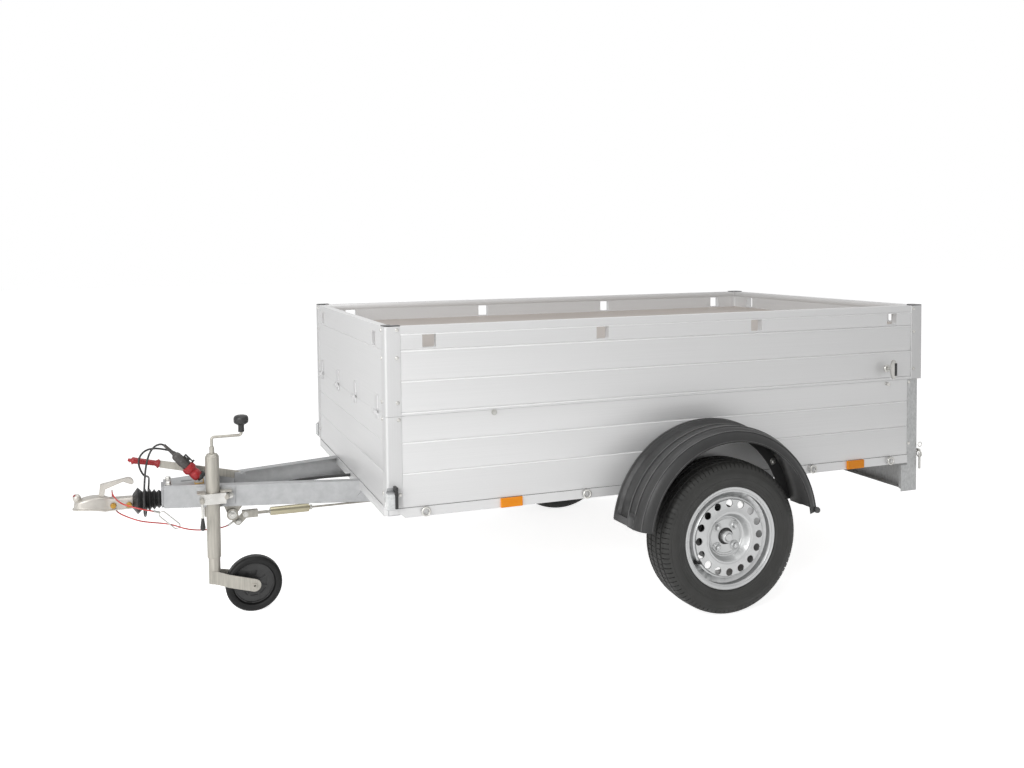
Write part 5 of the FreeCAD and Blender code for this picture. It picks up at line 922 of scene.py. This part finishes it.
LID_SIDE_BOLTS = ((1153, 1045), (1154, 954), (1154, 808), (-952, 1044), (-953.5, 953), (-953, 805))
BOX_SIDE_BOLTS = ((1151, 752), (1151.5, 506.5), (-931, 752), (-931, 506.5))
LID_FRONT_BOLTS = ((612, 1044), (612, 952), (612, 808))
BOX_FRONT_BOLTS = ((612, 752), (612, 506.5))
POST_BOLT = (6.5, 3.6)
WIDTH_HALF = 660
FRONT_FACE = 1195
SHANK_BOLTS = ((2036, 406), (1984, 404))
SHANK_FACE = 24.6
SHANK_WASHER = (10, 2)
SHANK_NUT = (16, 9)
SHANK_NUT_FOOT = 1.5
# How far each nut is turned, in radians for each millimetre ahead
SHANK_NUT_TURN = 0.1
BEAM_WASHER = (12.5, 2.2)
BEAM_NUT = (17, 10)
BEAM_NUT_FOOT = 2
BEAM_NUT_TURN = 0.3
TOP_PLATE_BOLT = (1850, 38, 467)
BEAM_LEAN = math.radians(15)
BEAM_BOLT_X = 1644
BEAM_BOLT_Z = 427
# Where the beam's side lies at one place, and how far the clamp's plate stands off it
BEAM_FROM = (1867, 55)
CLAMP_PLATE = 4.2


def make_post_bolts():
    """The round-headed bolts along the corner posts."""
    for name, carrier, side_bolts, front_bolts in (
            ("lid_bolts", "lid_corner_posts", LID_SIDE_BOLTS, LID_FRONT_BOLTS),
            ("box_bolts", "front_corner_posts", BOX_SIDE_BOLTS, BOX_FRONT_BOLTS)):
        heads = []
        for side in SIDES:
            for x, z in side_bolts:
                heads.append((dome(*POST_BOLT), aim((x, WIDTH_HALF * side, z), (0, side, 0))))
            for y, z in front_bolts:
                heads.append((dome(*POST_BOLT), aim((FRONT_FACE, y * side, z), AHEAD)))
        show(name, heads, "zinc_plate", "latch_keepers", body=BODY_OF[carrier])


def make_drawbar_bolts():
    """Bolts through the coupling's shank, the top plate and the jockey clamp's plate."""
    gold = []
    for x, z in SHANK_BOLTS:
        for side in SIDES:
            at = aim((x, SHANK_FACE * side, z), (0, side, 0), x * SHANK_NUT_TURN)
            gold.append((washer(*SHANK_WASHER), at))
            gold.append((hexagon(*SHANK_NUT), shifted(at, (0, 0, SHANK_NUT_FOOT))))
    show("coupling_bolts", gold, "gold_zinc", "plug_holder")
    x, y, z = TOP_PLATE_BOLT
    places = [((x, y * side, z), UP) for side in SIDES]
    plate_y = BEAM_FROM[1] + (BEAM_FROM[0] - BEAM_BOLT_X) * math.tan(BEAM_LEAN) + CLAMP_PLATE
    for side in SIDES:
        places.append(((BEAM_BOLT_X, plate_y * side, BEAM_BOLT_Z),
                       (math.sin(BEAM_LEAN), math.cos(BEAM_LEAN) * side, 0)))
    plain = []
    for at, towards in places:
        stand = aim(at, towards, BEAM_NUT_TURN)
        plain.append((washer(*BEAM_WASHER), stand))
        plain.append((hexagon(*BEAM_NUT), shifted(stand, (0, 0, BEAM_NUT_FOOT))))
    show("drawbar_bolts", plain, "zinc_plate", "latch_keepers")


# Coupling

# Places along the head's side: ahead of the axle, half width, foot and crown
HEAD_SIDE = (
    (1964, 25, 388, 430), (2010, 25, 388, 430.5), (2048, 25.5, 387, 431), (2057, 27, 386.5, 434),
    (2066, 31, 388, 438), (2082, 36, 393, 441), (2108, 39.5, 398, 441), (2132, 40, 400, 437),
    (2151, 35.5, 400, 433), (2164, 24.5, 399, 430), (2170.5, 9.5, 398, 429), (2172, 0, 398, 429))
# Rings drawn up from the foot: how far in, the share of the height, and a lift on top of it
HEAD_RINGS = ((0, 0, 4.6), (0.6, 0, 5.2), (4.2, 0, 6), (5, 0, 7.5), (6, 1, -10), (7.5, 1, -4), (12, 1, -0.6),
              (24, 1, 0.8), (60, 1, 1))
HEAD_NOSE = 2132
HEAD_WALL = 3.5
HEAD_SHARP = math.radians(60)
HEAD_KNOB = ((0, -14), (12, -14), (13.4, -8), (13.8, -2), (13.4, 3), (12, 7.5), (9, 11), (5, 13), (0, 13.6))
HEAD_KNOB_AT = (2155.5, 0, 439.5)
HEAD_KNOB_LEAN = (0.28, 0, 0.96)
BALL_CUP = ((25.2, 0), (24.8, 9), (21.5, 17), (13, 23.5), (0, 25.8), (0, 28.5), (14.5, 26.5), (24, 19),
            (27.8, 9), (28.2, 0))
BALL_CUP_FOOT = 401
TELL_TALE = (6, 2.4)
TELL_TALE_AT = (2163.5, 3, 449.4)
TELL_TALE_LEAN = (0.62, 0.12, 0.78)


def inset_from_side(ahead, half, inset):
    """A place on the head's outline, moved in towards its middle line or its round front's centre."""
    hub = min(ahead, HEAD_NOSE)
    reach = math.hypot(ahead - hub, half)
    share = max(0.0, 1 - inset / reach)
    return hub + (ahead - hub) * share, half * share


def make_coupling_head():
    """The pressed head, open below like the real one: its outline is drawn up ring by ring and mirrored."""
    mesh = bmesh.new()
    places = [(ahead, half, foot) for ahead, half, foot, crown in HEAD_SIDE]
    line = [mesh.verts.new([part * MM for part in place]) for place in places]
    edges = [mesh.edges.new(pair) for pair in zip(line, line[1:])]
    for inset, share, lift in HEAD_RINGS:
        drawn = bmesh.ops.extrude_edge_only(mesh, edges=edges)["geom"]
        fresh = [item for item in drawn if isinstance(item, bmesh.types.BMVert)]
        edges = [item for item in drawn if isinstance(item, bmesh.types.BMEdge)
                 and all(vert in fresh for vert in item.verts)]
        moved = []
        for vert in fresh:
            column = min(range(len(places)), key=lambda n: (vert.co - Vector(places[n]) * MM).length)
            ahead, half, foot, crown = HEAD_SIDE[column]
            height = foot + (crown - foot) * share + lift
            moved.append((vert, column, (*inset_from_side(ahead, half, inset), height)))
        for vert, column, place in moved:
            vert.co = Vector(place) * MM
            places[column] = place
    bmesh.ops.remove_doubles(mesh, verts=mesh.verts, dist=WELD)
    bmesh.ops.mirror(mesh, geom=mesh.verts[:] + mesh.edges[:] + mesh.faces[:], axis="Y", merge_dist=WELD)
    bmesh.ops.recalc_face_normals(mesh, faces=mesh.faces)
    bmesh.ops.translate(mesh, vec=(axle_x, 0, 0), verts=mesh.verts)
    head = add_piece("coupling_shell", mesh, "cast_iron", "coupling_head")
    wall = head.modifiers.new("wall", "SOLIDIFY")
    wall.thickness = HEAD_WALL * MM
    wall.offset = -1
    rounding = head.modifiers.new("rounding", "SUBSURF")
    rounding.levels = 2
    rounding.render_levels = 2
    smooth(head, HEAD_SHARP)
    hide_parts("coupling_head")


def make_coupling_fittings():
    """The latch's knob on the head, the cup for the ball inside it, and the red wear indicator."""
    inner = [(turned(HEAD_KNOB), aim(HEAD_KNOB_AT, HEAD_KNOB_LEAN)),
             (turned(BALL_CUP), aim((HEAD_NOSE, 0, BALL_CUP_FOOT), UP))]
    show("coupling_knob", inner, "cast_iron", "coupling_head", stands_in=True)
    tell_tale = [(dome(*TELL_TALE), aim(TELL_TALE_AT, TELL_TALE_LEAN))]
    show("coupling_tell_tale", tell_tale, "red_plastic", "handbrake_grip")


# Handbrake

GRIP_TIP = (1984.8, 0, 560.8)
GRIP_FOOT = (1876.2, 0, 537.5)
SLEEVE_NUB = ((0, 0), (4.4, 0.4), (5.8, 2), (6, 10), (7.4, 12), (10.4, 13.5), (12, 16), (12.2, 22),
              (11.4, 24))
SLEEVE_RIBS = 9
SLEEVE_RIB_FOOT = 26
SLEEVE_RIB_RADIUS = 11.4
SLEEVE_RIB = ((0, 0), (0, 5.2), (-0.7, 5.9), (-0.7, 6.9))
SLEEVE_PITCH = 7.4
SLEEVE_TAPER = 0.16
SLEEVE_COLLAR = ((10.2, 95), (12, 98), (13.6, 101), (13.8, 106), (12.6, 109.6), (7, 110.8), (0, 110.8))
SLEEVE_TAB_ROUNDING = 1.2
SLEEVE_TABS = (((5, 6, 5), (0, -11.5, 17)), ((6, 7, 6), (0, -13.5, 105)), ((5, 5, 6), (0, 12.5, 104)),
               ((4, 5, 4), (0, -6, 8)))


def make_handbrake_grip():
    """The red sleeve on the handbrake lever, with its nub, ribs and end tabs."""
    at = along(GRIP_TIP, GRIP_FOOT)
    sleeve = list(SLEEVE_NUB)
    for rib in range(SLEEVE_RIBS):
        foot = SLEEVE_RIB_FOOT + rib * SLEEVE_PITCH
        radius = SLEEVE_RIB_RADIUS - rib * SLEEVE_TAPER
        sleeve += [(radius + out, foot + up) for out, up in SLEEVE_RIB]
    shapes = [(turned(sleeve + list(SLEEVE_COLLAR)), at)]
    shapes += [(block(size, SLEEVE_TAB_ROUNDING), shifted(at, shift)) for size, shift in SLEEVE_TABS]
    show("handbrake_sleeve", shapes, "red_plastic", "handbrake_grip", stands_in=True)


# Jockey clamp and crank

CLAMP_GRIP = ((0, 0), (4.2, 0.6), (7.2, 3.4), (8.9, 8), (9.1, 13), (8.2, 20), (6.8, 28), (5.8, 36), (5.2, 42),
              (5.6, 44), (5, 45), (0, 45))
CLAMP_GRIP_AT = (1742, 175, 323)
CLAMP_BOSS = ((0, -4), (9, -4), (9, 2), (8, 3.2), (6, 3.6), (5.6, 5), (0, 5.4))
CLAMP_BOSS_AT = (1742, 177, 427)
CLAMP_LEDGES = (((28, 48, 4), (1743, 132, 448)), ((40, 42, 4), (1658, 128, 448)))
CLAMP_LEDGE_ROUNDING = 1.2
CLAMP_WASHER = (10, 2)
CLAMP_WASHER_AT = (1657, 152, 430)
CLAMP_NUT = (15, 8)
CLAMP_NUT_AT = (1657, 153.6, 430)
CLAMP_NUT_TURN = 0.4
CRANK_KNOB = ((0, 0), (10.6, 0), (10.8, 3), (10.2, 21), (12.5, 25.5), (20, 29), (24.6, 33), (26, 38),
              (26.2, 47), (25, 53.5), (21, 58), (14, 60.4), (0, 61))
CRANK_KNOB_STEPS = 40
CRANK_KNOB_AT = (1600, 125, 655)


def make_clamp_grip():
    """The drop-shaped black grip on the jockey clamp's lever, and the clamp's boss, ledges and nut."""
    drop = [(turned(CLAMP_GRIP), aim(CLAMP_GRIP_AT, UP))]
    show("clamp_lever_grip", drop, "black_plastic", "jockey_clamp_grip", stands_in=True)
    shapes = [(turned(CLAMP_BOSS), aim(CLAMP_BOSS_AT, LEFT))]
    shapes += [placed_block(size, CLAMP_LEDGE_ROUNDING, place) for size, place in CLAMP_LEDGES]
    shapes.append((washer(*CLAMP_WASHER), aim(CLAMP_WASHER_AT, LEFT)))
    shapes.append((hexagon(*CLAMP_NUT), aim(CLAMP_NUT_AT, LEFT, CLAMP_NUT_TURN)))
    show("clamp_lever_boss", shapes, "satin_zinc", "jockey_clamp")


def make_crank_knob():
    """The flat-topped knob of the jockey wheel's crank."""
    knob = [(turned(CRANK_KNOB, CRANK_KNOB_STEPS), aim(CRANK_KNOB_AT, UP))]
    show("crank_knob", knob, "black_plastic", "jockey_crank_knob", stands_in=True)


# Brake gear

CRANK_AXIS = (1629, 329)
CRANK_PLATE = (21, 2.4)
CRANK_PLATE_FOOT = 20
CRANK_BOSS_FOOT = 22
CRANK_NUT = (15, 6)
CRANK_NUT_FOOT = 27
CRANK_NUT_TURN = 0.2
CRANK_BOSS = ((0, 0), (15.5, 0), (15.5, 2.4), (14, 4), (10.6, 4.4), (10, 6), (0, 6))
LINK_PIN = ((0, -16), (5, -16), (5, 16), (3.8, 17.2), (0, 17.2))
# Place of each pin of the brake links, ahead and up, and whether a nut closes it
LINK_PINS = ((1607, 296.5, True), (1581, 322, False))
LINK_WASHER = (10, 2.2)
LINK_WASHER_FOOT = 12.6
LINK_NUT = (15, 6.5)
LINK_NUT_FOOT = 14
LINK_NUT_TURN = 0.5
ROD_NUT = (19, 9)
ROD_NUT_TURN = 0.3
ROD_WASHER = (11, 3)
ROD_HEIGHT = 322
ROD_NUT_X = 1342
ROD_WASHER_X = 1490


def make_brake_gear():
    """The reversing lever's boss, its nuts and pins, and the lock nut behind the spring canister."""
    x, z = CRANK_AXIS
    plate = [(washer(*CRANK_PLATE), aim((x, CRANK_PLATE_FOOT, z), LEFT))]
    show("brake_boss_plate", plate, "satin_zinc", "brake_bell_crank")
    shapes = [(turned(CRANK_BOSS), aim((x, CRANK_BOSS_FOOT, z), LEFT)),
              (hexagon(*CRANK_NUT), aim((x, CRANK_NUT_FOOT, z), LEFT, CRANK_NUT_TURN))]
    for x, z, has_nut in LINK_PINS:
        shapes.append((turned(LINK_PIN), aim((x, 0, z), LEFT)))
        for side in SIDES:
            shapes.append((washer(*LINK_WASHER), aim((x, LINK_WASHER_FOOT * side, z), (0, side, 0))))
        if has_nut:
            shapes.append((hexagon(*LINK_NUT), aim((x, LINK_NUT_FOOT, z), LEFT, LINK_NUT_TURN)))
    show("brake_gear_nuts", shapes, "zinc_plate", "brake_bell_crank")
    nuts = [(hexagon(*ROD_NUT), aim((ROD_NUT_X, 0, ROD_HEIGHT), BEHIND, ROD_NUT_TURN)),
            (washer(*ROD_WASHER), aim((ROD_WASHER_X, 0, ROD_HEIGHT), AHEAD))]
    show("brake_rod_nuts", nuts, "zinc_plate", "brake_rod")


# Box details

BOX_SEAMS = (576, 677)
LID_SEAMS = (775.5, 878.5, 979, 1033)
BEAD_DROP = 3.8
BEAD_HIGH = 3.2
BEAD_PROUD = 1.4
BEAD_FRONT = 1141
BOX_BEAD_REAR = -924
LID_BEAD_REAR = -942
SIDE_PLANK_FACE = 658
LID_REAR_FACE = -994
LID_REAR_HALF = 606
BAR_ROUND_SHARE = 0.6
POST_EDGE = (2.4, 1.6, 292)
POST_EDGE_ROUNDING = 0.5
POST_EDGE_X = -941.5
POST_EDGE_Z = 910.3
LIP_TOP = 1056.5
LIP_HIGH = 23
LIP_THICK = 1.6
LIP_SIDE = (-965, 1164, 630)
LIP_ENDS = (-628, 628, (1165, -966))


def bar(first, last, thick, high, middle, face, lengthwise):
    """A slim moulding on a wall's face, between two ends, with its middle at a height; half of it is sunk."""
    size = (last - first, 2 * thick, high) if lengthwise else (2 * thick, last - first, high)
    ends = (first + last) / 2
    at = (ends, face, middle) if lengthwise else (face, ends, middle)
    return placed_block(size, min(thick, high / 2) * BAR_ROUND_SHARE, at)


def plank_beads(seams, rear, faces=()):
    """The beads at some seams, along both sides from a rear end and across each of the faces."""
    beads = []
    for seam in seams:
        middle = seam - BEAD_DROP
        for side in SIDES:
            beads.append(bar(rear, BEAD_FRONT, BEAD_PROUD, BEAD_HIGH, middle, SIDE_PLANK_FACE * side, True))
        for face in faces:
            beads.append(bar(-LID_REAR_HALF, LID_REAR_HALF, BEAD_PROUD, BEAD_HIGH, middle, face, False))
    return beads


def make_plank_beads():
    """The bead that each drawn plank has along its upper edge, in a brighter finish as a painted highlight."""
    # The beads' finish is brighter than the planks' own, a painted highlight along each seam.
    show("box_beads", plank_beads(BOX_SEAMS, BOX_BEAD_REAR), "painted_highlight", "left_board")
    show("lid_beads", plank_beads(LID_SEAMS, LID_BEAD_REAR, (LID_REAR_FACE,)), "painted_highlight", "lid_left_board")


def make_lid_edges():
    """A strip of painted highlight on the edge of each rear post of the lid, and the lip inside its rim."""
    edges = [placed_block(POST_EDGE, POST_EDGE_ROUNDING, (POST_EDGE_X, WIDTH_HALF * side, POST_EDGE_Z))
             for side in SIDES]
    # Each post's strip is in the bright finish, a painted highlight.
    show("lid_post_highlights", edges, "painted_highlight", "lid_corner_posts")
    middle = LIP_TOP - LIP_HIGH / 2
    rear, front, face = LIP_SIDE
    lip = [bar(rear, front, LIP_THICK, LIP_HIGH, middle, face * side, True) for side in SIDES]
    right, left, faces = LIP_ENDS
    lip += [bar(right, left, LIP_THICK, LIP_HIGH, middle, face, False) for face in faces]
    show("lid_inner_lip", lip, "planks", "lid_left_board")


MITRE_SIZE = (44, 36, 1.6)
MITRE_AT = (1151.5, 638.5, 444.5)
MITRE_TURN = -math.radians(42.8)
SILL_END = (60, 1.6, 32)
SILL_END_AT = (1164.5, 619, 445)
SILL_FACE = (1.4, 1238, 33)
SILL_FACE_AT = (1195, 0, 445.2)
PLATE_ROUNDING = 0.5
SILL_ROUNDING = 0.4
# Rear and front end, thickness, height and middle of the black strip of painted shadow in the joint above each
# rail
RAIL_SHADOW_STRIP = (-924, 1168, 0.5, 1.1, 461.6)
STOP_BOLT = (823, 755)
STOP_WASHER = (10, 1.6)
STOP_WASHER_FOOT = 660.5
STOP_NUT = (13, 6)
STOP_NUT_FOOT = 662
STOP_NUT_TURN = 0.3


def make_rail_ends():
    """The plates that close the rails' mitres and face the front sill, and a black strip of painted shadow in the
    joint above each rail.
    """
    plates, joints = [], []
    for side in SIDES:
        x, y, z = MITRE_AT
        mitre = Matrix.Translation(spot(x, y * side, z)) @ Matrix.Rotation(MITRE_TURN, 4, "Y")
        plates.append((block(MITRE_SIZE, PLATE_ROUNDING), mitre))
        x, y, z = SILL_END_AT
        plates.append(placed_block(SILL_END, PLATE_ROUNDING, (x, y * side, z)))
        # A black strip stands in for the shadow in the joint above the rail.
        joints.append(bar(*RAIL_SHADOW_STRIP, WIDTH_HALF * side, True))
    plates.append(placed_block(SILL_FACE, SILL_ROUNDING, SILL_FACE_AT))
    show("rail_end_caps", plates, "planks", "side_rails")
    show("rail_joint_shadows", joints, "black_plastic", "side_rails")


def make_lid_stop_bolts():
    """The bolt on each side, just below the lid, that a stay stands on."""
    x, z = STOP_BOLT
    bolts = []
    for side in SIDES:
        bolts.append((washer(*STOP_WASHER), aim((x, STOP_WASHER_FOOT * side, z), (0, side, 0))))
        bolts.append((hexagon(*STOP_NUT), aim((x, STOP_NUT_FOOT * side, z), (0, side, 0), STOP_NUT_TURN)))
    show("lid_stop_bolts", bolts, "zinc_plate", "left_board")


# Each block of a front marker lamp: its size, its rounding and its place
MARKER_LENS = ((30, 33, 52), 5, (1189, 677, 493))
MARKER_SEAL = ((10, 34, 70), 2.4, (1169.5, 676.5, 504))
MARKER_BRACKET = (((32, 28, 2.4), 0.8, (1180, 673, 520.4)), ((30, 2.4, 13), 0.8, (1180, 661.6, 526)),
                  ((2.4, 26, 60), 0.8, (1196, 672, 493)))
MARKER_RIVET = (4.5, 2.6)
MARKER_RIVET_AT = (1160, 660.6, 507)


def make_marker_lamps():
    """Each front marker lamp: a clear lens, its black seal and the small grey bracket above."""
    lenses, seals, brackets = [], [], []
    for side in SIDES:
        for shapes, parts in ((lenses, (MARKER_LENS,)), (seals, (MARKER_SEAL,)), (brackets, MARKER_BRACKET)):
            for size, rounding, (x, y, z) in parts:
                shapes.append(placed_block(size, rounding, (x, y * side, z)))
        x, y, z = MARKER_RIVET_AT
        brackets.append((dome(*MARKER_RIVET), aim((x, y * side, z), (0, side, 0))))
    show("marker_lenses", lenses, "clear_lens", "front_marker_lamps", stands_in=True)
    show("marker_seals", seals, "black_plastic", "front_marker_lamps", stands_in=True)
    show("marker_brackets", brackets, "galvanised", "front_marker_lamps", stands_in=True)


GUARD_X = 8
GUARD_Z = 300
GUARD_OUT = 856
GUARD_SWEEP = 165.6
# Radius, distance from the trailer's middle and wire of each rib along a mudguard
GUARD_RIBS = ((375, 664, 2.4), (369.6, 753, 2), (370, 800, 2.2), (359, 838, 1.8), (327, 855.2, 2))
GUARD_CORNER = ((0, -16), (6, -14), (10, -8), (11.5, 0), (10, 6), (6, 9), (0, 10))
GUARD_CORNER_AT = (-347, 845.5, 345)
GUARD_BOLTS = ((-286, 492), (286, 500))
GUARD_WASHER = (13, 2.4)
GUARD_WASHER_FOOT = 663.6
GUARD_BOLT = (8, 5)
GUARD_BOLT_FOOT = 665.6
GUARD_RIB_STEPS = 44


def make_guard_ribs():
    """Raised ribs along each mudguard, the rounded corner at its rear end and the bolts to the box."""
    ribs, bolts = [], []
    for side in SIDES:
        for radius, across, wire in GUARD_RIBS:
            arc = hoop(radius, min(wire, GUARD_OUT - across), GUARD_SWEEP, 90 - GUARD_SWEEP / 2,
                       GUARD_RIB_STEPS)
            standing = Matrix.Translation(spot(GUARD_X, across * side, GUARD_Z)) @ Matrix.Rotation(
                math.pi / 2, 4, "X")
            ribs.append((arc, standing))
        x, y, z = GUARD_CORNER_AT
        ribs.append((turned(GUARD_CORNER), aim((x, y * side, z), (0, side, 0))))
        for x, z in GUARD_BOLTS:
            bolts.append((washer(*GUARD_WASHER), aim((x, GUARD_WASHER_FOOT * side, z), (0, side, 0))))
            bolts.append((dome(*GUARD_BOLT), aim((x, GUARD_BOLT_FOOT * side, z), (0, side, 0))))
    # The ribs are in a paler finish than the guard, a painted highlight.
    show("guard_ribs", ribs, "guard_rib_highlight", "mudguards")
    show("guard_bolts", bolts, "zinc_plate", "latch_keepers")


HANDLE_FACE = (12.4, 1.8, 50)
HANDLE_FACE_ROUNDING = 0.7
HANDLE_FACE_AT = (-829.8, 699.6, 812)
PIN_RING = (9, 1.9)
PIN_RING_AT = (-982, 667, 499)
PIN_ROD = ((0, 0), (3.4, 0.8), (4.4, 3), (4.4, 68), (3.4, 71), (0, 71.6))
PIN_ROD_AT = (-981, 667, 400)


def make_handle_faces():
    """The dark faces of the lid's two handles."""
    x, y, z = HANDLE_FACE_AT
    faces = [placed_block(HANDLE_FACE, HANDLE_FACE_ROUNDING, (x, y * side, z)) for side in SIDES]
    show("handle_faces", faces, "black_plastic", "lid_latches")


def make_rear_pins():
    """The tailgate pins' upper rings and the rods that hang below them."""
    shapes = []
    for side in SIDES:
        x, y, z = PIN_RING_AT
        shapes.append((hoop(*PIN_RING), aim((x, y * side, z), LEFT)))
        x, y, z = PIN_ROD_AT
        shapes.append((turned(PIN_ROD), aim((x, y * side, z), UP)))
    show("rear_pins", shapes, "zinc_plate", "tailgate_pivot_pins")


# Stage and light

# In metres
FLOOR_HALF = 30
AMBIENT = 0.2
PAPER_LIFT = 0.84
# Name, place and aim in metres, width and height, and power
LAMPS = (
    ("key", (3.1, 3.5, 2.4), (0.7, 0.3, 0.6), 2.4, 2.0, 104),
    ("front_fill", (4.0, 2.0, 0.9), (0.0, 0.7, 0.4), 1.6, 1.0, 14),
    ("top", (0.2, 0.6, 4.4), (0.0, 0.2, 0.0), 3.6, 2.6, 58),
)


def seen_directly(tree):
    """One where the camera, a mirror-like surface or clear plastic looks at the surface, else zero."""
    path = tree.nodes.new("ShaderNodeLightPath")
    total = path.outputs["Is Camera Ray"]
    for ray in ("Is Glossy Ray", "Is Transmission Ray"):
        either = tree.nodes.new("ShaderNodeMath")
        either.operation = "MAXIMUM"
        tree.links.new(total, either.inputs[0])
        tree.links.new(path.outputs[ray], either.inputs[1])
        total = either.outputs[0]
    return total


def make_stage():
    """A plain floor of white paper, lifted to the background's white where the camera sees it."""
    floor = bpy.data.meshes.new("floor")
    grid = bmesh.new()
    bmesh.ops.create_grid(grid, x_segments=1, y_segments=1, size=FLOOR_HALF)
    grid.to_mesh(floor)
    grid.free()
    piece = bpy.data.objects.new("floor", floor)
    bpy.context.scene.collection.objects.link(piece)
    paper = Finish("paper", 0.0, 0.9, Specular_IOR_Level=0.1)
    paper.colours(paper.cloud(2), grey(240), grey(244))
    paper.set("Emission Color", (1, 1, 1, 1))
    lift = paper.spread(seen_directly(paper.tree), 0, 1, 0, PAPER_LIFT)
    paper.join(lift, paper.shader.inputs["Emission Strength"])
    floor.materials.append(paper.material)


def make_lamp(name, at, towards, width, height, power):
    """A soft box that faces a place."""
    data = bpy.data.lights.new(name, "AREA")
    data.shape = "RECTANGLE"
    data.size = width
    data.size_y = height
    data.energy = power
    piece = bpy.data.objects.new(name, data)
    bpy.context.scene.collection.objects.link(piece)
    piece.location = at
    piece.rotation_euler = (Vector(towards) - Vector(at)).to_track_quat("-Z", "Y").to_euler()


def make_light():
    """A white studio that shows at full strength but lights the object softly, and three soft boxes."""
    world = bpy.data.worlds.new("studio")
    bpy.context.scene.world = world
    world.use_nodes = True
    tree = world.node_tree
    tree.nodes["Background"].inputs["Color"].default_value = (1, 1, 1, 1)
    level = tree.nodes.new("ShaderNodeMapRange")
    level.inputs["To Min"].default_value = AMBIENT
    level.inputs["To Max"].default_value = 1.0
    tree.links.new(seen_directly(tree), level.inputs["Value"])
    tree.links.new(level.outputs["Result"], tree.nodes["Background"].inputs["Strength"])
    for setting in LAMPS:
        make_lamp(*setting)


# The trailer

MADE_ABOVE = set(ROUTES) | {"electric_plug", "plug_holder", "breakaway_hook", "coupling_head",
                            "handbrake_grip", "jockey_clamp_grip", "jockey_crank_knob", "front_marker_lamps"}
# In metres
JOCKEY_RIM_RADIUS = 0.064


def in_jockey_rim(at):
    """Whether a place lies within the jockey wheel's rim."""
    return math.hypot(at.x - (jockey_x - axle_x), at.z - jockey_z) < JOCKEY_RIM_RADIUS


def make_plain_pieces():
    """Every other node keeps its own shape, with its edges softened."""
    made = set(MADE_ABOVE)
    for name in WHEEL_SIDES:
        made |= {name + "_tyre", name + "_rim", name + "_brake_drum"}
    for node in frame["nodes"]:
        if node in made:
            continue
        piece = refine(node)
        if node == "jockey_wheel":
            paint(piece, "rim_black", in_jockey_rim)


bpy.context.scene.view_settings.view_transform = "Standard"
make_camera()
make_stage()
make_light()
dress_nodes()
make_cables()
for name, side in WHEEL_SIDES.items():
    make_wheel(name, side)
make_post_bolts()
make_drawbar_bolts()
make_coupling_head()
make_coupling_fittings()
make_handbrake_grip()
make_clamp_grip()
make_crank_knob()
make_brake_gear()
make_plank_beads()
make_lid_edges()
make_rail_ends()
make_lid_stop_bolts()
make_marker_lamps()
make_guard_ribs()
make_handle_faces()
make_rear_pins()
make_plain_pieces()
